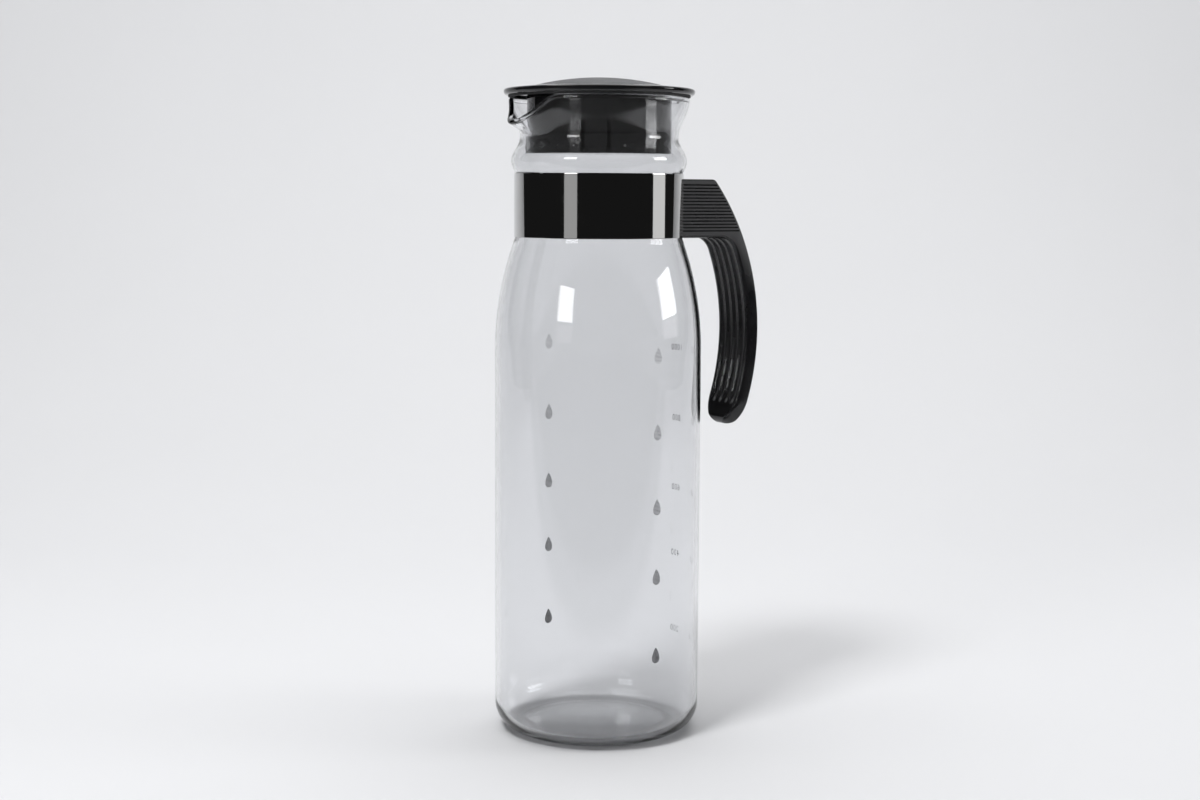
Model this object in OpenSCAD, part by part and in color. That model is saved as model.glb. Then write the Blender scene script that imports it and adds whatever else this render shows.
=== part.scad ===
// Slim fridge pitcher. A clear glass jug with a pulled pouring lip stands on its own heel. A steel
// band round the neck clamps a moulded handle, and a round lid closes the mouth: its plug hangs in
// the neck, snaps under the waist of the glass with sprung fingers, and turns or lifts out.
// Millimetres. The jug's axis is the Z axis and its foot stands on Z = 0. The handle lies along
// +X and the pouring lip along -X, so the pitcher is symmetrical about the plane Y = 0.

/* [Glass body] */
// Outer radius of the straight wall
body_r = 46; // [42:0.5:50]
// Thickness of the straight wall
body_wall = 2; // [1.6:0.1:2.6]
// Thickness of the bottom at the heel
base_wall = 3; // [2:0.25:4]
// Outer radius of the round heel
heel_r = 12; // [8:0.5:16]
// Width of the flat ring that the jug stands on
foot_w = 2.5; // [1.5:0.25:5]
// Rise of the middle of the bottom over the foot
push_up = 1.5; // [0.5:0.25:3]
// Height at which the straight wall turns into the shoulder
shoulder_z = 172; // [150:1:185]

/* [Neck] */
// Outer radius of the glass inside the band
seat_r = 36.5; // [34:0.25:38]
// Thickness of the glass in the neck
neck_wall = 1.7; // [1.4:0.1:2]
// How far the bulge over the band stands out past the glass inside the band
bulge_out = 2.3; // [1:0.1:4.5]
// How far the waist that the lid snaps under pulls in behind the glass inside the band
waist_pull = 1.5; // [0:0.1:3]
// How far the mouth flares out past the waist
mouth_flare = 4.7; // [2:0.1:7]
// Radius of the fire-polished bead on the rim
bead_r = 1.1; // [0.9:0.05:1.5]
// Rise of the bulge over the top of the band
bulge_rise = 5.6; // [4:0.2:9]
// Rise of the waist over the bulge
waist_rise = 10.3; // [7:0.1:14]
// Rise of the rim over the waist
rim_rise = 17.3; // [14:0.1:24]

/* [Pouring lip] */
// How far the lip's edge dips below the rim
lip_dip = 10.4; // [6:0.2:12]
// How far the lip is pulled out past the mouth
lip_reach = 4.7; // [2:0.1:6]
// Angle from the middle of the lip to where the rim is round again
lip_half_angle = 33; // [26:1:42]

/* [Band] */
// Height of the band's lower edge
band_z = 221.4; // [212:0.2:230]
// Height of the band
band_h = 28; // [22:0.5:34]
// Thickness of the steel strip
band_t = 0.5; // [0.4:0.05:0.8]
// Thickness of the soft liner between steel and glass
liner_t = 0.5; // [0.3:0.05:0.8]
// How far the liner stays back from the band's edges
liner_inset = 3; // [2.6:0.1:5]
// Gap between the middles of the band's two folded ends
tab_gap = 12; // [10:0.5:15]
// Height of the folded ends
tab_h = 16; // [12:0.5:18]
// Reach of the folded ends into the handle
tab_len = 13; // [11:0.25:15]
// Radius of the strip's bends, on its middle line
bend_r = 0.9; // [0.6:0.05:1.4]

/* [Handle] */
// Width of the handle, the same from head to tip
handle_w = 24.4; // [20:0.2:28]
// Reach of the grip's back past the band
handle_out = 41.4; // [37:0.2:48]
// Radius of the one arc that the back follows from head to tip
bow_r = 108; // [96:1:130]
// Drop of the grip's most outward point below the head
bow_drop = 42.4; // [36:0.4:50]
// Thickness of the grip
grip_t = 6.1; // [5:0.1:8]
// Height of the head
head_h = 26.4; // [24:0.2:28]
// How far the head's underside lies below the band's lower edge
head_drop = 0.4; // [0:0.1:2]
// Radius of the curve between the head's underside and the grip
crook_r = 9.5; // [7:0.25:13]
// Radius of the round edges on the finger side
finger_edge_r = 2.2; // [1:0.1:3]
// Radius of the edges along the back
back_edge_r = 0.9; // [0.5:0.1:1.5]
// Radius of the head's upper back corner
crown_corner_r = 3; // [1.5:0.25:5]
// Drop of the tip's lowest point below the grip's most outward point
tip_drop = 44; // [38:0.5:50]
// Corner radius of the tongue-shaped tip
tip_corner_r = 9.5; // [6:0.25:11]
// Number of flutes along the finger side
flutes = 4; // [2:1:5]
// Depth of a flute
flute_depth = 1; // [0.5:0.1:1.4]
// Width of the land between two flutes
flute_land = 1; // [0.6:0.1:2]
// Plain border between the outer flutes and the round edges
flute_border = 0.7; // [0.3:0.1:2]
// Number of fine grooves on each side of the head
grooves = 15; // [8:1:18]
// Distance between grooves
groove_pitch = 1.47; // [1.2:0.01:1.8]
// Width of a groove
groove_w = 0.62; // [0.4:0.02:0.9]
// Depth of a groove
groove_depth = 0.45; // [0.2:0.05:0.8]
// Distance from the head's top to the first groove
groove_start = 2.6; // [2:0.1:5]

/* [Clamp] */
// Radius of the clamp screw's shank
screw_r = 1.95; // [1.5:0.05:2.5]
// Radius of the screw's head
screw_head_r = 3.8; // [3:0.1:4.4]
// Height of the screw's head
screw_head_h = 2.4; // [1.8:0.1:3.2]
// Thickness of the lock washer
washer_t = 1; // [0.6:0.1:1.4]
// Thickness of the plate that pulls the band's ends
anchor_t = 2.8; // [2:0.1:3.5]
// Length of the plate's threaded boss
anchor_boss = 3; // [1.5:0.1:4]
// Thickness of the handle's wall under the screw's head
clamp_wall = 4; // [3:0.25:5]

/* [Lid] */
// How far the lid stands out past the mouth
lid_over = 2.5; // [1.5:0.1:6]
// Thickness of the lid's glossy disc at its edge
lid_edge_t = 2.8; // [2.2:0.1:4]
// Rise of the disc from its edge to the crown
lid_slope = 1.1; // [0.5:0.1:2]
// Width of the glossy border round the crown panel
crown_border = 11.8; // [9:0.2:16]
// Rise of the crown panel over its own edge
crown_rise = 4; // [2:0.1:6]
// Thickness of the crown panel
crown_t = 1.6; // [1.2:0.1:2.2]
// Depth of the recess that the crown panel sits in
crown_seat = 1.3; // [0.8:0.1:1.6]
// Gap between the plug and the waist of the glass
plug_gap = 1.4; // [0.9:0.1:3.3]
// Wall of the plug
plug_wall = 1.6; // [1.2:0.1:2]
// Depth of the plug below the lid
plug_h = 25.9; // [22:0.1:27]
// Thickness of the plug's floor
plug_floor = 1.6; // [1.2:0.1:2.4]
// Length of the lid's spigot inside the plug
spigot_h = 4.4; // [3:0.1:6]
// Height of the snap bead on the spigot
snap_h = 0.3; // [0.15:0.05:0.4]

/* [Sprung fingers and strainer] */
// Direction of the first finger, counted from the handle
finger_dir = 56.4; // [0:0.1:90]
// Width of a finger
finger_w = 9.1; // [7:0.1:12]
// Height of a finger
finger_h = 14.3; // [11:0.1:17]
// Width of the slots beside a finger
slot_w = 1.7; // [1.2:0.1:2.2]
// How far a finger's snap stands out of the plug
snap_out = 1.3; // [0.6:0.05:1.35]
// Height of the snap's ridge over the plug's bottom
snap_z = 2.9; // [2:0.1:5]
// Height of the snap's upper end over the plug's bottom
snap_top = 11.3; // [8:0.1:13]
// Number of strainer slits in the plug's wall
slits = 7; // [4:1:8]
// Width of a slit
slit_w = 1.5; // [1:0.1:1.8]
// Distance between slits
slit_pitch = 3.2; // [2.8:0.1:3.8]
// Height of a slit in the wall
slit_h = 13; // [8:0.5:15]
// Length of a slit in the floor
drain_len = 9; // [6:0.5:12]

/* [Rim seal] */
// Width of the sealing ring
seal_w = 2.6; // [1.8:0.1:3]
// Thickness of the sealing ring
seal_t = 1.25; // [1:0.05:1.6]
// How deep the ring sits in the lid's groove
seal_seat = 0.5; // [0.3:0.05:0.8]

/* [Hidden] */

// Clearances and fine sizes
fit = 0.05;          // between pieces that are clamped together
run_gap = 0.15;      // between pieces that turn or lift past each other
cut = 1;             // how far every cut runs past its surface
sink = 0.1;          // how far the lip ring's wall starts inside the body's wall
join_h = 0.4;        // how far the body's wall and the lip ring overlap
pocket_gap = 0.4;    // round the band's ends inside the handle
bore_gap = 0.25;     // round the screw in the handle and the washer
thread_gap = 0.05;   // round the screw in the anchor's thread
recess_w = 0.9;      // arm of the cross recess
recess_l = 4.2;      // length of the cross recess
recess_h = 1.5;      // depth of the cross recess
edge_break = 0.6;    // chamfer on the anchor's corners
lip_power = 2.6;     // how sharply the lip's reach gathers at its middle
flute_fade = 2.4;    // over how many degrees a flute reaches its depth
over_turn = 6;       // how many degrees the handle's arcs run on, where something else ends them
groove_end = 1.3;    // plain border between a groove's end and the back

// Steps of the curves
round_fn = 96;
fine_fn = 32;
curve_n = 14;
lip_turns = 76;
lip_crowd = 17;       // how many degrees the turns crowd towards the lip
lip_rises = 8;
bead_steps = 7;
edge_steps = 4;
crook_steps = 10;
bow_steps = 30;

// Glass, from the band's place upwards
foot_r = body_r - heel_r;
foot_in_r = foot_r - foot_w;
band_top = band_z + band_h;
bulge_z = band_top + bulge_rise;
waist_z = bulge_z + waist_rise;
rim_z = waist_z + rim_rise;
bulge_r = seat_r + bulge_out;
waist_r = seat_r - waist_pull;
waist_in_r = waist_r - neck_wall;
mouth_r = waist_r + mouth_flare;
seat_top = band_top - liner_inset + run_gap;
seat_z = band_z + liner_inset - run_gap;

// Liner and band
liner_in_r = seat_r + fit;
liner_r = liner_in_r + liner_t;
band_in_r = liner_r + fit;
band_r = band_in_r + band_t;
band_mid_r = band_r - band_t / 2;
shoulder_end_r = band_in_r - fit;
shoulder_drop = body_r - shoulder_end_r;
shoulder_rise = band_z - shoulder_z;
shoulder_r = (pow(shoulder_rise, 2) + pow(shoulder_drop, 2)) / (2 * shoulder_drop);
shoulder_turn = asin(shoulder_rise / shoulder_r);
tab_mid = tab_gap / 2;
bend_y = tab_mid + bend_r;
bend_x = sqrt(pow(band_mid_r + bend_r, 2) - pow(bend_y, 2));
bend_turn = atan2(bend_y, bend_x);
tab_x = band_r + tab_len;
hook_y = screw_r + bore_gap + band_t;
clamp_z = band_z + band_h / 2;

// Handle: one arc round (bow_x, bow_z) for the back and the finger side
handle_reach = band_r + handle_out;
head_z = band_z - head_drop;
head_top = head_z + head_h;
bow_x = handle_reach - bow_r;
bow_z = head_z - bow_drop;
grip_in_r = bow_r - grip_t;
crook_z = head_z - crook_r;
crook_x = bow_x + sqrt(pow(grip_in_r - crook_r, 2) - pow(crook_z - bow_z, 2));
crook_turn = atan2(crook_z - bow_z, crook_x - bow_x);
corner_z = head_top - crown_corner_r;
corner_x = bow_x + sqrt(pow(bow_r - crown_corner_r, 2) - pow(corner_z - bow_z, 2));
corner_turn = atan2(corner_z - bow_z, corner_x - bow_x);
tip_z = bow_z - tip_drop;
nose_mid_r = bow_r - grip_t / 2;
nose_r = grip_t / 2 * 1.08;
nose_turn = -asin((tip_drop - nose_r) / nose_mid_r);
half_w = handle_w / 2;
flute_pitch = (handle_w - 2 * (finger_edge_r + flute_border) + flute_land) / flutes;
flute_w = flute_pitch - flute_land;
flute_r = (pow(flute_w / 2, 2) + pow(flute_depth, 2)) / (2 * flute_depth);
flute_mid = flute_r - flute_depth;
flute_turn = nose_turn + asin(grip_t / nose_mid_r);
flute_end_turn = crook_turn;
reach_in = 4 * grip_t + crook_r;
front_r = band_r + fit;

// Clamp, along X at the band's middle height
pocket_x = tab_x + pocket_gap;
seat_x = pocket_x + clamp_wall;
washer_x = seat_x + fit;
screw_x = washer_x + washer_t + fit;
anchor_x = tab_x - band_t - fit;
bore_r = screw_r + bore_gap;
counter_r = screw_head_r + bore_gap;

// Lid, from the rim upwards
lid_r = mouth_r + lid_over;
crown_r = lid_r - crown_border;
plug_r = waist_in_r - plug_gap;
seal_mid_r = mouth_r - neck_wall / 2;
seal_z = rim_z + run_gap;
lid_z = seal_z + seal_t - seal_seat;
lid_top = lid_z + lid_edge_t + lid_slope;
crown_z = lid_top - crown_seat;
crown_ball_r = (pow(crown_r, 2) + pow(crown_rise, 2)) / (2 * crown_rise);
plug_in_r = plug_r - plug_wall;
plug_top = lid_z - fit;
plug_z = lid_z - plug_h;
spigot_r = plug_in_r - fit;
spigot_in_r = spigot_r - plug_wall;
snap_mid_z = lid_z - spigot_h / 2;
finger_dirs = [finger_dir, finger_dir + 90, finger_dir + 180];
strainer_dir = finger_dir + 270;

// Smooth step from 0 to 1
function ease(t) = (1 - cos(180 * t)) / 2;
// Points of a smooth step in radius between two heights
function blend(r0, z0, r1, z1, n) =
    [for (i = [0:n]) [r0 + (r1 - r0) * ease(i / n), z0 + (z1 - z0) * i / n]];
// Points of an arc
function arc(cx, cy, r, a0, a1, n) =
    [for (i = [0:n]) let (a = a0 + (a1 - a0) * i / n) [cx + r * cos(a), cy + r * sin(a)]];

// Part of a flat ring, between two directions under 180 degrees apart
module ring_arc(r_out, r_in, a0, a1) {
    intersection() {
        difference() {
            circle(r_out, $fn = round_fn);
            circle(r_in, $fn = round_fn);
        }
        polygon(concat([[0, 0]], arc(0, 0, 2 * r_out, a0, a1, 4)));
    }
}

// Turned part of the jug: bottom, heel, wall, shoulder, band seat, bulge and waist
module jug_turned() {
    outer = concat(
        [for (i = [0:curve_n]) let (t = i / curve_n) [foot_in_r * t, push_up * (1 - ease(t))]],
        arc(foot_r, heel_r, heel_r, -90, 0, curve_n),
        arc(body_r - shoulder_r, shoulder_z, shoulder_r, 0, shoulder_turn, 2 * curve_n),
        blend(shoulder_end_r, band_z, seat_r, seat_z, curve_n / 2),
        blend(seat_r, seat_top, bulge_r, bulge_z, curve_n),
        blend(bulge_r, bulge_z, waist_r, waist_z, curve_n),
        [[waist_r - 2 * sink, waist_z + join_h]]);
    in_r = shoulder_r - body_wall;
    heel_in_r = heel_r - body_wall;
    neck_in = shoulder_end_r - neck_wall;
    neck_turn = acos((in_r - (body_r - body_wall) + neck_in) / in_r);
    inner = concat(
        [[waist_in_r + 2 * sink, waist_z + join_h]],
        blend(waist_in_r, waist_z, bulge_r - neck_wall, bulge_z, curve_n),
        blend(bulge_r - neck_wall, bulge_z, seat_r - neck_wall, seat_top, curve_n),
        blend(seat_r - neck_wall, seat_z, neck_in, band_z, curve_n / 2),
        arc(body_r - shoulder_r, shoulder_z, in_r, neck_turn, 0, 2 * curve_n),
        arc(foot_r, base_wall + heel_in_r, heel_in_r, 0, -90, curve_n),
        [for (i = [curve_n:-1:0]) let (t = i / curve_n)
            [foot_in_r * t, base_wall + push_up * (1 - ease(t))]]);
    rotate_extrude($fn = round_fn) polygon(concat(outer, inner));
}

// Share of the full dip at an angle from the middle of the lip
function dip_share(a) = abs(a) < lip_half_angle ? (1 + cos(180 * a / lip_half_angle)) / 2 : 0;
// Middle line of the mouth's wall at a height share t, where g is the dip share
function wall_mid(t, g) = [
    waist_r - neck_wall / 2 + (mouth_r - waist_r) * ease(max(t, 0))
        + lip_reach * pow(g, lip_power) * pow(max(t, 0), 1.5),
    waist_z + (rim_z - bead_r - lip_dip * g - waist_z) * t];
// Unit direction up the wall
function wall_up(t, g) = let (d = wall_mid(t + 0.01, g) - wall_mid(t - 0.01, g)) d / norm(d);
// Closed section of the mouth's wall: up the outside, over the bead and down the inside
function lip_section(g) =
    let (start = -join_h / 2 / rim_rise,
         rises = [for (i = [0:lip_rises]) start + (1 - start) * i / lip_rises],
         half = [for (t = rises) neck_wall / 2 - sink * (1 - min(1, max(t, 0) * 4))],
         u1 = wall_up(1, g), n1 = [u1[1], -u1[0]], c1 = wall_mid(1, g))
    concat(
        [for (i = [0:lip_rises - 1]) let (u = wall_up(rises[i], g))
            wall_mid(rises[i], g) + half[i] * [u[1], -u[0]]],
        [for (i = [0:bead_steps]) let (a = -40 + 260 * i / bead_steps)
            c1 + bead_r * (cos(a) * n1 + sin(a) * u1)],
        [for (i = [lip_rises - 1:-1:0]) let (u = wall_up(rises[i], g))
            wall_mid(rises[i], g) - half[i] * [u[1], -u[0]]]);

// Lofted part of the jug: the flared mouth, its bead and the pulled lip on the -X side
module jug_mouth() {
    rows = [for (k = [0:lip_turns - 1]) let (u = 360 * k / lip_turns, a = u + lip_crowd * sin(u),
            s = lip_section(dip_share(a - 180)))
        [for (q = s) [q[0] * cos(a), q[0] * sin(a), q[1]]]];
    m = len(rows[0]);
    faces = [for (k = [0:lip_turns - 1], j = [0:m - 1])
        let (k2 = (k + 1) % lip_turns, j2 = (j + 1) % m,
             p = k * m + j, q = k2 * m + j, r = k2 * m + j2, s = k * m + j2)
        each [[p, s, r], [p, r, q]]];
    polyhedron([for (row = rows) each row], faces, convexity = 6);
}

// The jug, one piece of glass
module glass_jug() {
    color([0.86, 0.93, 0.95, 0.4]) union() {
        jug_turned();
        jug_mouth();
    }
}

// Outline of one folded end of the band, seen from above
module band_tab() {
    hook_x = tab_x - band_t / 2 - bend_r;
    translate([bend_x, bend_y])
        ring_arc(bend_r + band_t / 2, bend_r - band_t / 2, 176 + bend_turn, 270);
    translate([bend_x - sink, tab_mid - band_t / 2])
        square([hook_x - bend_x + 2 * sink, band_t]);
    translate([hook_x, tab_mid - bend_r])
        ring_arc(bend_r + band_t / 2, bend_r - band_t / 2, 0, 90);
    translate([tab_x - band_t, hook_y])
        square([band_t, tab_mid - bend_r - hook_y + sink]);
}

// Steel strip round the neck, its ends turned out into the handle and hooked
module neck_band() {
    color([0.78, 0.79, 0.8]) {
        translate([0, 0, band_z]) linear_extrude(band_h) difference() {
            circle(band_r, $fn = round_fn);
            circle(band_in_r, $fn = round_fn);
            polygon([[0, 0], 2 * band_r * [cos(bend_turn), sin(bend_turn)],
                2 * band_r * [cos(bend_turn), -sin(bend_turn)]]);
        }
        translate([0, 0, clamp_z - tab_h / 2]) linear_extrude(tab_h) {
            band_tab();
            mirror([0, 1]) band_tab();
        }
    }
}

// Soft strip between the band and the glass, open at the handle
module band_liner() {
    open_turn = bend_turn + 4;
    color([0.9, 0.9, 0.88])
        translate([0, 0, band_z + liner_inset]) linear_extrude(band_h - 2 * liner_inset)
            difference() {
                circle(liner_r, $fn = round_fn);
                circle(liner_in_r, $fn = round_fn);
                polygon([[0, 0], 2 * liner_r * [cos(open_turn), sin(open_turn)],
                    2 * liner_r * [cos(open_turn), -sin(open_turn)]]);
            }
}

// Runs a flat outline of (radius, width) round an axis along Y at (x, z), from turn a0 to a1
module bow(x, z, a0, a1) {
    translate([x, 0, z]) rotate([90, 0, 0]) rotate([0, 0, a0])
        rotate_extrude(angle = a1 - a0, $fn = 3 * round_fn) children();
}

// Round corner of an outline, as points from one direction to another
function corner(x, y, r, a0, a1) = arc(x, y, r, a0, a1, edge_steps);

// Cross-section of the solid that the handle is cut from, with its round back edges
module back_section(r_in) {
    b = back_edge_r;
    polygon(concat([[r_in, -half_w]], corner(bow_r - b, -half_w + b, b, -90, 0),
        corner(bow_r - b, half_w - b, b, 0, 90), [[r_in, half_w]]));
}

// Depth of a flute at a distance from its middle
function flute_at(w) = abs(w) < flute_w / 2 ? sqrt(pow(flute_r, 2) - pow(w, 2)) - flute_mid : 0;
// Share of the flutes' full depth along the finger side: they fade in below the crook and out above
// the tip
function flute_share(a) = ease(min(1, max(0, (a - flute_turn) / flute_fade))) *
    ease(min(1, max(0, (flute_end_turn - a) / flute_fade)));

// Across the finger side: [place, cut past the plain surface, depth of the flutes] from edge to edge
function finger_widths() =
    let (e = finger_edge_r,
         round_edge = [for (i = [0:edge_steps - 1]) let (a = 90 * i / edge_steps)
             [half_w - e + e * sin(a), e - e * cos(a), 0]],
         last = round_edge[edge_steps - 1],
         steep = tan(90 * (edge_steps - 1) / edge_steps),
         side = concat(round_edge,
             [[half_w + cut, last[1] + (half_w + cut - last[0]) * steep, 0]]),
         inner = [for (i = [0:flutes - 1], k = [-2:2]) let (w = flute_w * k / 4)
             [(i - (flutes - 1) / 2) * flute_pitch + w, 0, flute_at(w * 0.999)]])
    concat([for (i = [edge_steps:-1:0]) [-side[i][0], side[i][1], 0]], inner, side);

// Along the finger side: [x, z, turn of the way into the handle, share of the flutes]
function finger_path() = concat(
    [[seat_r - liner_inset, head_z, 90, 0]],
    [for (i = [0:crook_steps]) let (a = 90 + (crook_turn - 90) * i / crook_steps)
        [crook_x + crook_r * cos(a), crook_z + crook_r * sin(a), a, 0]],
    [for (i = [1:bow_steps]) let (a = crook_turn + (nose_turn - over_turn - crook_turn) * i / bow_steps)
        [bow_x + grip_in_r * cos(a), bow_z + grip_in_r * sin(a), a, flute_share(a)]]);

// Room for the fingers as one lofted cutter: under the head, round the crook and along the grip,
// with the flutes and with flared sides that leave round edges on the handle
module finger_room() {
    widths = finger_widths();
    path = finger_path();
    m = len(widths);
    low_z = tip_z - 2 * cut;
    rows = concat(
        [for (p = path) [for (w = widths) let (d = w[1] + w[2] * p[3])
            [p[0] + d * cos(p[2]), w[0], p[1] + d * sin(p[2])]]],
        [for (q = [[seat_r - liner_inset, low_z]]) [for (w = widths) [q[0], w[0], q[1]]]]);
    n = len(rows);
    polyhedron([for (row = rows) each row], concat(
        [for (k = [0:n - 1], j = [0:m - 2]) let (k2 = (k + 1) % n,
            p = k * m + j, q = k2 * m + j) each [[p, p + 1, q + 1], [p, q + 1, q]]],
        [[for (k = [0:n - 1]) k * m], [for (k = [n - 1:-1:0]) k * m + m - 1]]), convexity = 8);
}

// Side view that bounds the handle, with its round upper corner and its round tip
module side_outline() {
    far = bow_r + 2 * grip_t;
    polygon([[bow_x, bow_z], [bow_x + far * cos(nose_turn), bow_z + far * sin(nose_turn)],
        [bow_x + far, bow_z],
        [bow_x + far * cos(corner_turn), bow_z + far * sin(corner_turn)], [corner_x, corner_z],
        [corner_x, head_top + cut], [bow_x, head_top + cut]]);
    translate([corner_x, corner_z]) circle(crown_corner_r + sink, $fn = fine_fn);
    translate([bow_x + nose_mid_r * cos(nose_turn), bow_z + nose_mid_r * sin(nose_turn)])
        circle(nose_r, $fn = fine_fn);
}

// Front view of the handle: small upper corners and a tongue-shaped tip
module front_outline() {
    e = back_edge_r * 1.3;
    c = tip_corner_r;
    polygon(concat(
        arc(half_w - c, tip_z + c, c, -90, 0, 8),
        arc(half_w - e, head_top - e, e, 0, 90, edge_steps + 1),
        arc(-half_w + e, head_top - e, e, 90, 180, edge_steps + 1),
        arc(-half_w + c, tip_z + c, c, 180, 270, 8)));
}

// Moulded handle: grooved head against the band, curved fluted grip
module handle() {
    pocket_w = tab_gap + band_t + 2 * pocket_gap;
    pocket_h = tab_h + 2 * pocket_gap;
    color([0.05, 0.05, 0.055]) difference() {
        intersection() {
            bow(bow_x, bow_z, nose_turn - over_turn, corner_turn + over_turn)
                back_section(bow_r - reach_in);
            translate([0, half_w + cut, 0]) rotate([90, 0, 0])
                linear_extrude(handle_w + 2 * cut) side_outline();
            translate([seat_r - body_r / 4, 0, 0]) rotate([90, 0, 90])
                linear_extrude(handle_reach) front_outline();
        }
        finger_room();
        translate([0, 0, head_z - head_h]) cylinder(r = front_r, h = 3 * head_h, $fn = round_fn);
        for (side = [-1, 1], i = [0:grooves - 1]) {
            z = head_top - groove_start - i * groove_pitch;
            back_x = bow_x + sqrt(pow(bow_r, 2) - pow(z - bow_z, 2)) - groove_end;
            translate([seat_r / 2, side * half_w - groove_depth, z - groove_w / 2])
                cube([back_x - seat_r / 2, 2 * groove_depth, groove_w]);
        }
        translate([seat_r / 2, -pocket_w / 2, clamp_z - pocket_h / 2])
            cube([pocket_x - seat_r / 2, pocket_w, pocket_h]);
        translate([pocket_x - cut, 0, clamp_z]) rotate([0, 90, 0])
            cylinder(r = bore_r, h = clamp_wall + 2 * cut, $fn = fine_fn);
        translate([seat_x, 0, clamp_z]) rotate([0, 90, 0])
            cylinder(r = counter_r, h = handle_reach - seat_x, $fn = fine_fn);
    }
}

// Steel plate behind the band's hooks, with a threaded boss for the screw
module band_anchor() {
    plate_w = 2 * (tab_mid - bend_r);
    c = edge_break;
    color([0.6, 0.61, 0.63]) difference() {
        union() {
            translate([anchor_x - anchor_t, 0, clamp_z]) rotate([90, 0, 90])
                linear_extrude(anchor_t) polygon([
                    for (s = [[1, 1], [-1, 1], [-1, -1], [1, -1]], k = [0, 1])
                    let (m = (s[0] * s[1] > 0) == (k == 0) ? [c, 0] : [0, c])
                    [s[0] * (plate_w / 2 - m[1]), s[1] * (tab_h / 2 - m[0])]]);
            translate([anchor_x - anchor_t - anchor_boss, 0, clamp_z]) rotate([0, 90, 0])
                cylinder(r = screw_r + anchor_t / 2, h = anchor_boss + anchor_t / 2, $fn = fine_fn);
        }
        translate([anchor_x - anchor_t - anchor_boss - cut, 0, clamp_z]) rotate([0, 90, 0])
            cylinder(r = screw_r + thread_gap, h = anchor_boss + anchor_t + 2 * cut, $fn = fine_fn);
    }
}

// Pan-head screw that draws the band tight, seen from the handle's back
module clamp_screw() {
    length = screw_x - (anchor_x - anchor_t - anchor_boss);
    color([0.7, 0.71, 0.73]) translate([screw_x, 0, clamp_z]) rotate([0, 90, 0]) difference() {
        union() {
            translate([0, 0, -length]) cylinder(r = screw_r, h = length + cut, $fn = fine_fn);
            rotate_extrude($fn = fine_fn) polygon(concat([[0, 0], [screw_head_r, 0]],
                [for (i = [0:6]) let (a = 90 * i / 6)
                    [screw_head_r * (0.7 + 0.3 * cos(a)), screw_head_h * (0.45 + 0.55 * sin(a))]],
                [[0, screw_head_h]]));
        }
        for (turn = [0, 90]) rotate([0, 0, turn])
            translate([-recess_l / 2, -recess_w / 2, screw_head_h - recess_h])
                cube([recess_l, recess_w, recess_h + cut]);
    }
}

// Split washer under the screw's head
module lock_washer() {
    color([0.66, 0.67, 0.69]) translate([washer_x, 0, clamp_z]) rotate([0, 90, 0]) difference() {
        cylinder(r = screw_head_r - fit, h = washer_t, $fn = fine_fn);
        translate([0, 0, -cut]) cylinder(r = bore_r, h = washer_t + 2 * cut, $fn = fine_fn);
        rotate([0, 0, 20]) translate([0, -recess_w / 4, -cut])
            cube([2 * screw_head_r, recess_w / 2, washer_t + 2 * cut]);
    }
}

// Soft ring in the lid's underside that rests on the glass rim
module rim_seal() {
    color([0.1, 0.1, 0.11]) translate([0, 0, seal_z]) rotate_extrude($fn = round_fn)
        polygon([[seal_mid_r - seal_w / 2, 0], [seal_mid_r + seal_w / 2, 0],
            [seal_mid_r + seal_w / 2, seal_t], [seal_mid_r - seal_w / 2, seal_t]]);
}

// Glossy disc of the lid, with the crown's recess on top, and the seal's groove and the plug's
// spigot underneath
module lid_cap() {
    groove_in = seal_mid_r - seal_w / 2 - run_gap;
    groove_out = seal_mid_r + seal_w / 2 + run_gap;
    groove_top = lid_z + seal_seat + run_gap;
    edge_z = lid_z + lid_edge_t * 0.62;
    recess_r = crown_r + fit;
    color([0.04, 0.04, 0.045]) rotate_extrude($fn = round_fn) polygon(concat(
        [[0, lid_z], [spigot_in_r, lid_z], [spigot_in_r, lid_z - spigot_h],
         [spigot_r - snap_h, lid_z - spigot_h], [spigot_r, lid_z - spigot_h + snap_h],
         [spigot_r, snap_mid_z - snap_h], [spigot_r + snap_h, snap_mid_z],
         [spigot_r, snap_mid_z + snap_h], [spigot_r, lid_z],
         [groove_in, lid_z], [groove_in, groove_top], [groove_out, groove_top],
         [groove_out, lid_z]],
        [for (i = [0:5]) let (a = -90 + 90 * i / 5)
            [lid_r + (lid_r - groove_out) * 0.8 * (cos(a) - 1),
             edge_z + (edge_z - lid_z) * sin(a)]],
        [for (i = [1:6]) let (a = 90 * i / 6)
            [lid_r + lid_edge_t * 0.4 * (cos(a) - 1),
             edge_z + (lid_z + lid_edge_t - edge_z) * sin(a)]],
        [[recess_r, lid_top], [recess_r, crown_z], [0, crown_z]]));
}

// Satin crown panel, a shallow dome that sits in the disc's recess
module lid_crown() {
    in_r = crown_r - crown_t;
    dome_z = lid_top - fit;
    function dome(r, drop) = dome_z - drop + sqrt(pow(crown_ball_r, 2) - pow(r, 2))
        - (crown_ball_r - crown_rise);
    color([0.2, 0.2, 0.21]) rotate_extrude($fn = round_fn) polygon(concat(
        [for (i = [0:curve_n]) let (r = crown_r * i / curve_n) [r, dome(r, 0)]],
        [[crown_r, crown_z + fit], [in_r, crown_z + fit]],
        [for (i = [curve_n:-1:0]) let (r = in_r * i / curve_n) [r, dome(r, crown_t)]]));
}

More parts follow.
